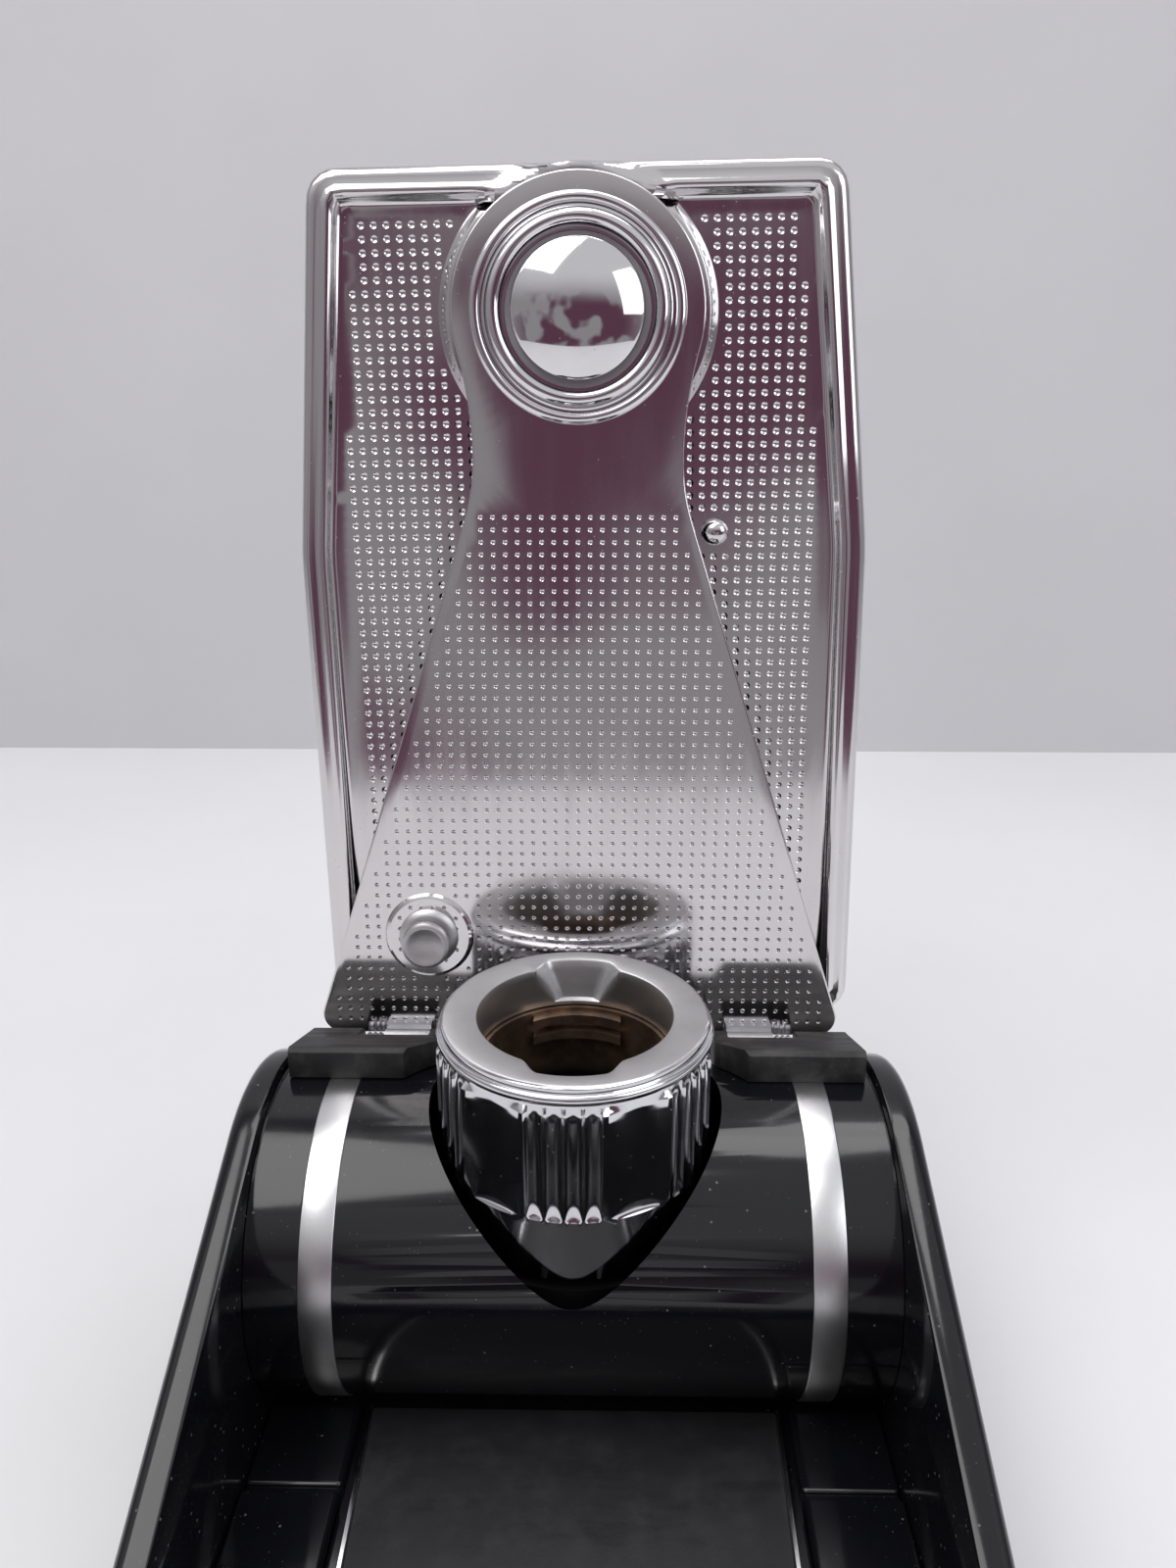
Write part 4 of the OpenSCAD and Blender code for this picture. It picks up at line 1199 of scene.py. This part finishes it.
@dataclass
class Base:
    """The wedge: rounded cheeks, nose and deck, drum, bands, trough fittings and brackets."""

    shop: Workshop
    layout: Layout
    width: float = 110.0
    cheek: float = 5.0
    front: float = -110.0
    rear: float = 44.0
    nose_r: float = 6.0
    foot: float = 2.0
    deck_h: float = 38.0
    deck_r: float = 8.0
    cheek_r: float = 29.0
    edge_r: float = 2.4
    drum_r: float = 27.0
    drum_wall: float = 2.4
    drum_half: float = 49.85
    wall: float = 2.4
    floor_under: float = 5.6
    floor_top: float = 8.0
    web_y: float = -12.6
    shelf_z: float = 31.0
    drum_foot: float = 8.3
    drum_back: float = 38.3
    drum_steps: int = 96
    seat_r: float = 26.2
    band_r: float = 27.15
    band_in: float = 36.34
    band_out: float = 41.56
    hole_r: float = 24.0

    def drum_angles(self) -> list[float]:
        """Angles round the drum, in radians, from the trough over the top to the rear deck."""
        a0 = math.degrees(math.asin((self.drum_foot - self.layout.drum_z) / self.drum_r))
        a1 = 180 - math.degrees(math.asin((self.drum_back - self.layout.drum_z) / self.drum_r))
        return [math.radians(a0 + (a1 - a0) * k / self.drum_steps) for k in range(self.drum_steps + 1)]

    def drum_arc(self, r: float) -> list[Point]:
        """The drum's section at radius r, in (y, z)."""
        return [(-r * math.cos(a), r * math.sin(a)) for a in self.drum_angles()]

    def outline(self, inset: float) -> list[Point]:
        """The side outline in (y, z), clockwise from the front foot, pulled in by inset."""
        nose = (self.front + self.nose_r, self.foot + self.nose_r)
        drum = (0.0, self.layout.drum_z)
        run, lift = drum[0] - nose[0], drum[1] - nose[1]
        slope = math.degrees(math.atan2(lift, run)
                             + math.asin((self.cheek_r - self.nose_r) / math.hypot(run, lift)))
        up = 90 + slope
        back = (self.rear - self.deck_r, self.deck_h - self.deck_r)
        meet = math.degrees(math.asin((self.deck_h - drum[1]) / self.cheek_r))
        pts = [(self.front + inset + 1.0, self.foot + inset)]
        pts += arc(*nose, self.nose_r - inset, 180, up, 10)
        pts += arc(*drum, self.cheek_r - inset, up, meet + 4, 26)
        pts += [(self.cheek_r + 1.6, self.deck_h - inset + 0.15)]
        pts += arc(*back, self.deck_r - inset, 90, 0, 10)
        pts += [(self.rear - inset, self.foot + inset)]
        return pts

    def build(self) -> None:
        """Makes the whole base."""
        self.housing()
        self.drum()
        self.bands()
        self.trough()
        self.brackets()

    def housing(self) -> None:
        """The cheeks, the nose, the trough floor and the rear deck as one moulding."""
        shell = Shell(Matrix.Translation((0, self.layout.drum_y * MM, 0)))
        half, e = self.width / 2, self.edge_r
        for side in (-1, 1):
            rings = [[(side * (half - self.cheek), y, z) for y, z in self.outline(0.55)],
                     [(side * (half - self.cheek + 0.2), y, z) for y, z in self.outline(0.15)],
                     [(side * (half - self.cheek + 0.7), y, z) for y, z in self.outline(0.0)]]
            rings += [[(side * x, y, z) for y, z in self.outline(e - i)]
                      for i, x in [(e * math.cos(a), half - e * (1 - math.sin(a)))
                                   for a in [math.pi / 2 * k / 7 for k in range(8)]]]
            shell.loft(rings)
            shell.cap(rings)
        inner = half - self.cheek + 0.05
        self.span(shell, self.nose_profile(), inner)
        low, top, web, shelf = self.floor_under, self.floor_top, self.web_y, self.shelf_z
        self.span(shell, [(-94.0, low), (-94.0, top), (web, top), (web, low)], inner)
        self.span(shell, [(-15.0, self.drum_foot), (-15.0, shelf), (-22.0, shelf), (-22.0, 34.0),
                          (26.0, 34.0), (26.0, shelf), (web, shelf), (web, self.drum_foot)], inner)
        deck = [(24.4, shelf), (24.4, self.deck_h)] + arc(self.rear - self.deck_r, self.deck_h - self.deck_r,
                                                  self.deck_r, 90, 0, 10)
        deck += [(self.rear, self.foot), (self.rear - self.wall, self.foot),
                 (self.rear - self.wall, shelf)]
        self.span(shell, deck, inner)
        self.shop.piece("housing", shell.verts, shell.faces, ["black_gloss"], "base", "base_housing",
                        smooth=32)

    def nose_profile(self) -> list[Point]:
        """The bar between the cheeks at the nose, rounded and falling to the trough."""
        nose = (self.front + self.nose_r, self.foot + self.nose_r)
        pts = [(self.front + 1.0, self.foot)] + arc(*nose, self.nose_r, 180, 112, 8)
        pts += [(-99.0, 15.4), (-95.0, 16.6), (-93.0, 16.3), (-92.2, 15.2), (-92.0, 8.0),
                (-92.0, self.foot)]
        return pts

    def span(self, shell: Shell, profile: list[Point], half: float) -> None:
        """Adds a bar across the base from a (y, z) profile."""
        rings = [[(x, y, z) for y, z in profile] for x in (-half, half)]
        shell.loft(rings)
        shell.cap(rings)

    def drum(self) -> None:
        """The drum shell: cut round the collar by a boolean, with rounded opening edges."""
        shell = Shell(self.layout.drum())
        outer, inner = self.drum_arc(self.drum_r), self.drum_arc(self.drum_r - self.drum_wall)
        loop = outer + inner[::-1]
        xs = [-self.drum_half, -41.75, -41.6, -36.3, -36.15, 36.15, 36.3, 41.6, 41.75, self.drum_half]
        cuts = {-41.6, -36.3, 36.3, 41.6}
        rings = []
        for x in xs:
            if x in cuts:
                sunk = [(y * self.seat_r / self.drum_r, z * self.seat_r / self.drum_r)
                        for y, z in outer] + inner[::-1]
                order = [loop, sunk] if x in (-41.6, 36.3) else [sunk, loop]
                rings += [[(x, y, z) for y, z in shape] for shape in order]
            else:
                rings.append([(x, y, z) for y, z in loop])
        shell.loft(rings)
        shell.cap(rings)
        thing = self.shop.piece("drum", shell.verts, shell.faces, ["black_gloss"], "base", "drum_shell",
                                smooth=30)
        self.open_drum(thing)

    def open_drum(self, thing: bpy.types.Object) -> None:
        """Cuts the collar's opening and rounds its edge."""
        mesh = bpy.data.meshes.new("cutter")
        bm = bmesh.new()
        bmesh.ops.create_cone(bm, cap_ends=True, segments=160, radius1=self.hole_r * MM,
                              radius2=self.hole_r * MM, depth=0.06,
                              matrix=Matrix.Translation((0, self.layout.collar_y * MM, 0.0641)))
        bm.to_mesh(mesh)
        bm.free()
        cutter = bpy.data.objects.new("cutter", mesh)
        bpy.context.collection.objects.link(cutter)
        cut = thing.modifiers.new("opening", "BOOLEAN")
        cut.object, cut.operation, cut.solver = cutter, "DIFFERENCE", "EXACT"
        edge = thing.modifiers.new("edge", "BEVEL")
        edge.width, edge.segments, edge.limit_method = 0.0004, 3, "ANGLE"
        edge.angle_limit = math.radians(50)
        self.shop.apply(thing)
        bpy.data.objects.remove(cutter)
        self.shop.shade(thing, 30)

    def bands(self) -> None:
        """The two satin bands let into the drum."""
        for side, name in ((-1, "left_band"), (1, "right_band")):
            shell = Shell(self.layout.drum())
            lo, hi, r = self.band_in, self.band_out, self.band_r
            section = [(lo, 26.3), (lo, r - 0.12), (lo + 0.05, r - 0.04), (lo + 0.16, r), (hi - 0.16, r),
                       (hi - 0.05, r - 0.04), (hi, r - 0.12), (hi, 26.3)]
            rings = [[(side * x, -q * math.cos(a), q * math.sin(a)) for x, q in section]
                     for a in self.drum_angles()]
            shell.loft(rings)
            shell.cap(rings)
            self.shop.piece(name + "_strip", shell.verts, shell.faces, ["satin_band"], "base", name,
                            smooth=40)

    def slab(self, name: str, outline: list[Point], z0: float, z1: float, slot: str, node: str,
             bevel: float) -> None:
        """A flat insert drawn in plan, from z0 up to z1, with a bevelled edge."""
        shell = Shell(Matrix.Translation((0, self.layout.drum_y * MM, 0)))
        rings = [[(x, y, z) for x, y in outline] for z in (z0, z1)]
        shell.loft(rings)
        shell.cap(rings)
        self.shop.piece(name, shell.verts, shell.faces, [slot], "base", node, smooth=35, bevel=bevel)

    def trough(self) -> None:
        """The centre panel, its trims and the stepped side decks."""
        self.slab("panel_insert", [(-33, -19), (33, -19), (31, -90), (-31, -90)], 8.0, 9.2,
                  "matte_panel", "centre_panel", 0.00025)
        shell = Shell(Matrix.Translation((0, self.layout.drum_y * MM, 0)))
        for side in (-1, 1):
            foot = [(side * 33.0, -19), (side * 33.8, -19), (side * 31.8, -90), (side * 31.0, -90)]
            rings = [[(x, y, z) for x, y in foot] for z in (8.0, 9.55)]
            rings.append([(x + side * (0.12 if abs(x) in (33.0, 31.0) else -0.12), y, 9.7)
                          for x, y in foot])
            shell.loft(rings)
            shell.cap(rings)
        self.shop.piece("trims", shell.verts, shell.faces, ["bright_trim"], "base", "panel_trims",
                        smooth=40)
        for side, node in ((-1, "left_deck"), (1, "right_deck")):
            shell = Shell(Matrix.Translation((0, self.layout.drum_y * MM, 0)))
            for y0, y1, z1 in ((-34.0, -19.0, 10.0), (-90.0, -35.5, 11.0), (-90.0, -33.5, 9.5)):
                self.block(shell, side * 35.0, side * 49.85, y0, y1, 8.0, z1, 0.6)
            self.shop.piece(node + "_step", shell.verts, shell.faces, ["black_gloss"], "base", node,
                            smooth=40)

    def block(self, shell: Shell, x0: float, x1: float, y0: float, y1: float, z0: float, z1: float,
              r: float) -> None:
        """A block whose upper edges are rounded by r."""
        if x0 > x1:
            x0, x1 = x1, x0
        rings = []
        for inset, z in [(0.0, z0), (0.0, z1 - r)] + [
                (r * (1 - math.cos(a)), z1 - r + r * math.sin(a)) for a in
                [math.pi / 2 * k / 4 for k in range(1, 5)]]:
            q = max(0.9 - inset, 0.1)
            loop = (arc(x1 - inset - q, y1 - inset - q, q, 90, 0, 4)
                    + arc(x1 - inset - q, y0 + inset + q, q, 0, -90, 4)
                    + arc(x0 + inset + q, y0 + inset + q, q, -90, -180, 4)
                    + arc(x0 + inset + q, y1 - inset - q, q, 180, 90, 4))
            rings.append([(x, y, z) for x, y in loop])
        shell.loft(rings)
        shell.cap(rings)

    def brackets(self) -> None:
        """Bevels copies of the two CAD brackets and dresses them."""
        for node in ("left_bracket", "right_bracket"):
            source = frame["nodes"][node]
            bm = bmesh.new()
            bm.from_mesh(source.data)
            bm.transform(source.matrix_world)
            bmesh.ops.remove_doubles(bm, verts=bm.verts, dist=2e-6)
            bmesh.ops.dissolve_limit(bm, angle_limit=math.radians(2), verts=bm.verts, edges=bm.edges)
            verts = [v.co.copy() for v in bm.verts]
            bm.verts.index_update()
            faces = [[v.index for v in f.verts] for f in bm.faces]
            bm.free()
            self.shop.piece(node + "_moulding", verts, faces, ["bracket_black"], "base", node,
                            smooth=35, bevel=0.00035)


# ---- studio ---------------------------------------------------------------------------------------


class Studio:
    """Floor, backdrop, a surround with coloured patches, soft lights and the camera."""

    mauve = rgb(0.15, 0.065, 0.105)
    floor_tone = rgb(0.74, 0.74, 0.755)
    wall_tone = rgb(0.60, 0.60, 0.625)
    lens_mm = 25.9875
    sensor_mm = 36.0
    eye = (0.0046, -0.130, 0.166)
    look_down = 18.5
    look_left = 0.9

    def build(self) -> None:
        """Makes the studio."""
        scene = bpy.context.scene
        scene.view_settings.view_transform = "Standard"
        self.world(scene)
        self.ground()
        self.lights()
        self.camera(scene)

    def world(self, scene: bpy.types.Scene) -> None:
        """A soft grey surround."""
        world = bpy.data.worlds.new("surround")
        scene.world = world
        world.use_nodes = True
        graph = Graph(world.node_tree)
        shade = world.node_tree.nodes["Background"]
        way = graph.add("ShaderNodeTexCoord", {}, {}, "Generated")
        height = graph.add("ShaderNodeSeparateXYZ", {}, {0: way}, "Z")
        ahead = graph.add("ShaderNodeSeparateXYZ", {}, {0: way}, "Y")
        patch = graph.noise(3.1, way, 2, 0.4).above(0.49, 0.05) * (1 - (ahead + 0.62).above(0.0, 0.2))
        glow = graph.blend(height.above(0.42, 0.2), rgb(0.40, 0.385, 0.40), rgb(0.86, 0.86, 0.88))
        tone = graph.blend(height.above(-0.35, 0.15), rgb(0.30, 0.29, 0.31), glow)
        mixed = graph.add("ShaderNodeMix", {"data_type": "RGBA"},
                          {0: patch * (1 - height.above(0.3, 0.1)), 6: tone, 7: self.mauve}, 2)
        seen = graph.add("ShaderNodeLightPath", {}, {}, "Is Camera Ray")
        plain = graph.add("ShaderNodeMix", {"data_type": "RGBA"},
                          {0: seen, 6: mixed, 7: rgb(0.62, 0.62, 0.64)}, 2)
        world.node_tree.links.new(plain.socket, shade.inputs["Color"])
        shade.inputs["Strength"].default_value = 0.8

    def plane(self, name: str, corners: list[tuple], tone: tuple, rough: float) -> None:
        """A matte stage plane."""
        mesh = bpy.data.meshes.new(name)
        mesh.from_pydata(corners, [], [(0, 1, 2, 3)])
        thing = bpy.data.objects.new(name, mesh)
        bpy.context.collection.objects.link(thing)
        p = Paint(name, Roughness=rough)
        grain = p.noise(6, None, 4)
        dark = tuple(c * 0.94 for c in tone[:3]) + (1.0,)
        p.set("Base Color", p.blend(grain.above(0.5, 0.3), tone, dark))
        mesh.materials.append(p.material)

    def ground(self) -> None:
        """The table and the wall behind it."""
        far, back, near = 2.5, 0.42, -0.45
        self.plane("table", [(-far, near, 0), (far, near, 0), (far, back, 0), (-far, back, 0)],
                   self.floor_tone, 0.45)
        self.plane("wall", [(-far, back, 0), (far, back, 0), (far, back, 2.2), (-far, back, 2.2)],
                   self.wall_tone, 0.8)

    def lights(self) -> None:
        """Large soft lamps; the coloured patches for the plating to mirror are in the world."""
        self.area("key", (-0.35, -0.25, 0.95), (0, 0.05, 0.08), 0.7, 5.2, (1.0, 0.985, 0.97))
        self.area("fill", (0.75, -0.5, 0.55), (0, 0.03, 0.08), 0.6, 2.2, (0.93, 0.96, 1.0))
        self.area("top", (0.15, 0.25, 1.05), (0, 0.05, 0.1), 0.5, 3.0, (1.0, 1.0, 1.0))

    def area(self, name: str, where: tuple, at: tuple, size: float, power: float, tone: tuple) -> None:
        """One square area lamp aimed at a point."""
        lamp = bpy.data.lights.new(name, "AREA")
        lamp.size, lamp.energy, lamp.color = size, power, tone
        thing = bpy.data.objects.new(name, lamp)
        thing.location = where
        aim = Vector(at) - Vector(where)
        thing.rotation_euler = aim.to_track_quat("-Z", "Y").to_euler()
        bpy.context.collection.objects.link(thing)

    def camera(self, scene: bpy.types.Scene) -> None:
        """The camera: close, above the rim and looking slightly down."""
        data = bpy.data.cameras.new("camera")
        data.sensor_fit = "VERTICAL"
        data.sensor_height = self.sensor_mm
        data.lens = self.lens_mm
        data.clip_start = 0.01
        thing = bpy.data.objects.new("camera", data)
        thing.location = self.eye
        thing.rotation_euler = (math.radians(90 - self.look_down), 0, math.radians(self.look_left))
        bpy.context.collection.objects.link(thing)
        scene.camera = thing


# ---- main -----------------------------------------------------------------------------------------


def dress_cad_nodes(finishes: Finishes) -> None:
    """Gives every CAD node that still shows its finish."""
    slots = {s["node"]: s["material_slot"] for s in frame["record"]["subparts"]}
    for name, thing in frame["nodes"].items():
        material = finishes[slots[name]]
        if not thing.data.materials:
            thing.data.materials.append(material)
        for k in range(len(thing.material_slots)):
            thing.material_slots[k].material = material
        log.info("%s wears %s", name, material.name)


def main() -> None:
    """Builds the studio and the holder in order."""
    logging.basicConfig(level=logging.INFO, format="%(name)s: %(message)s")
    Studio().build()
    layout = Layout()
    finishes = Finishes((0.0, layout.collar_y * MM, 0.0))
    shop = Workshop(finishes)
    dress_cad_nodes(finishes)
    Base(shop, layout).build()
    Collar(shop, layout).build()
    Arm(shop, layout).build()
    Plate(shop, layout).build()


if __name__ == "__main__":
    main()
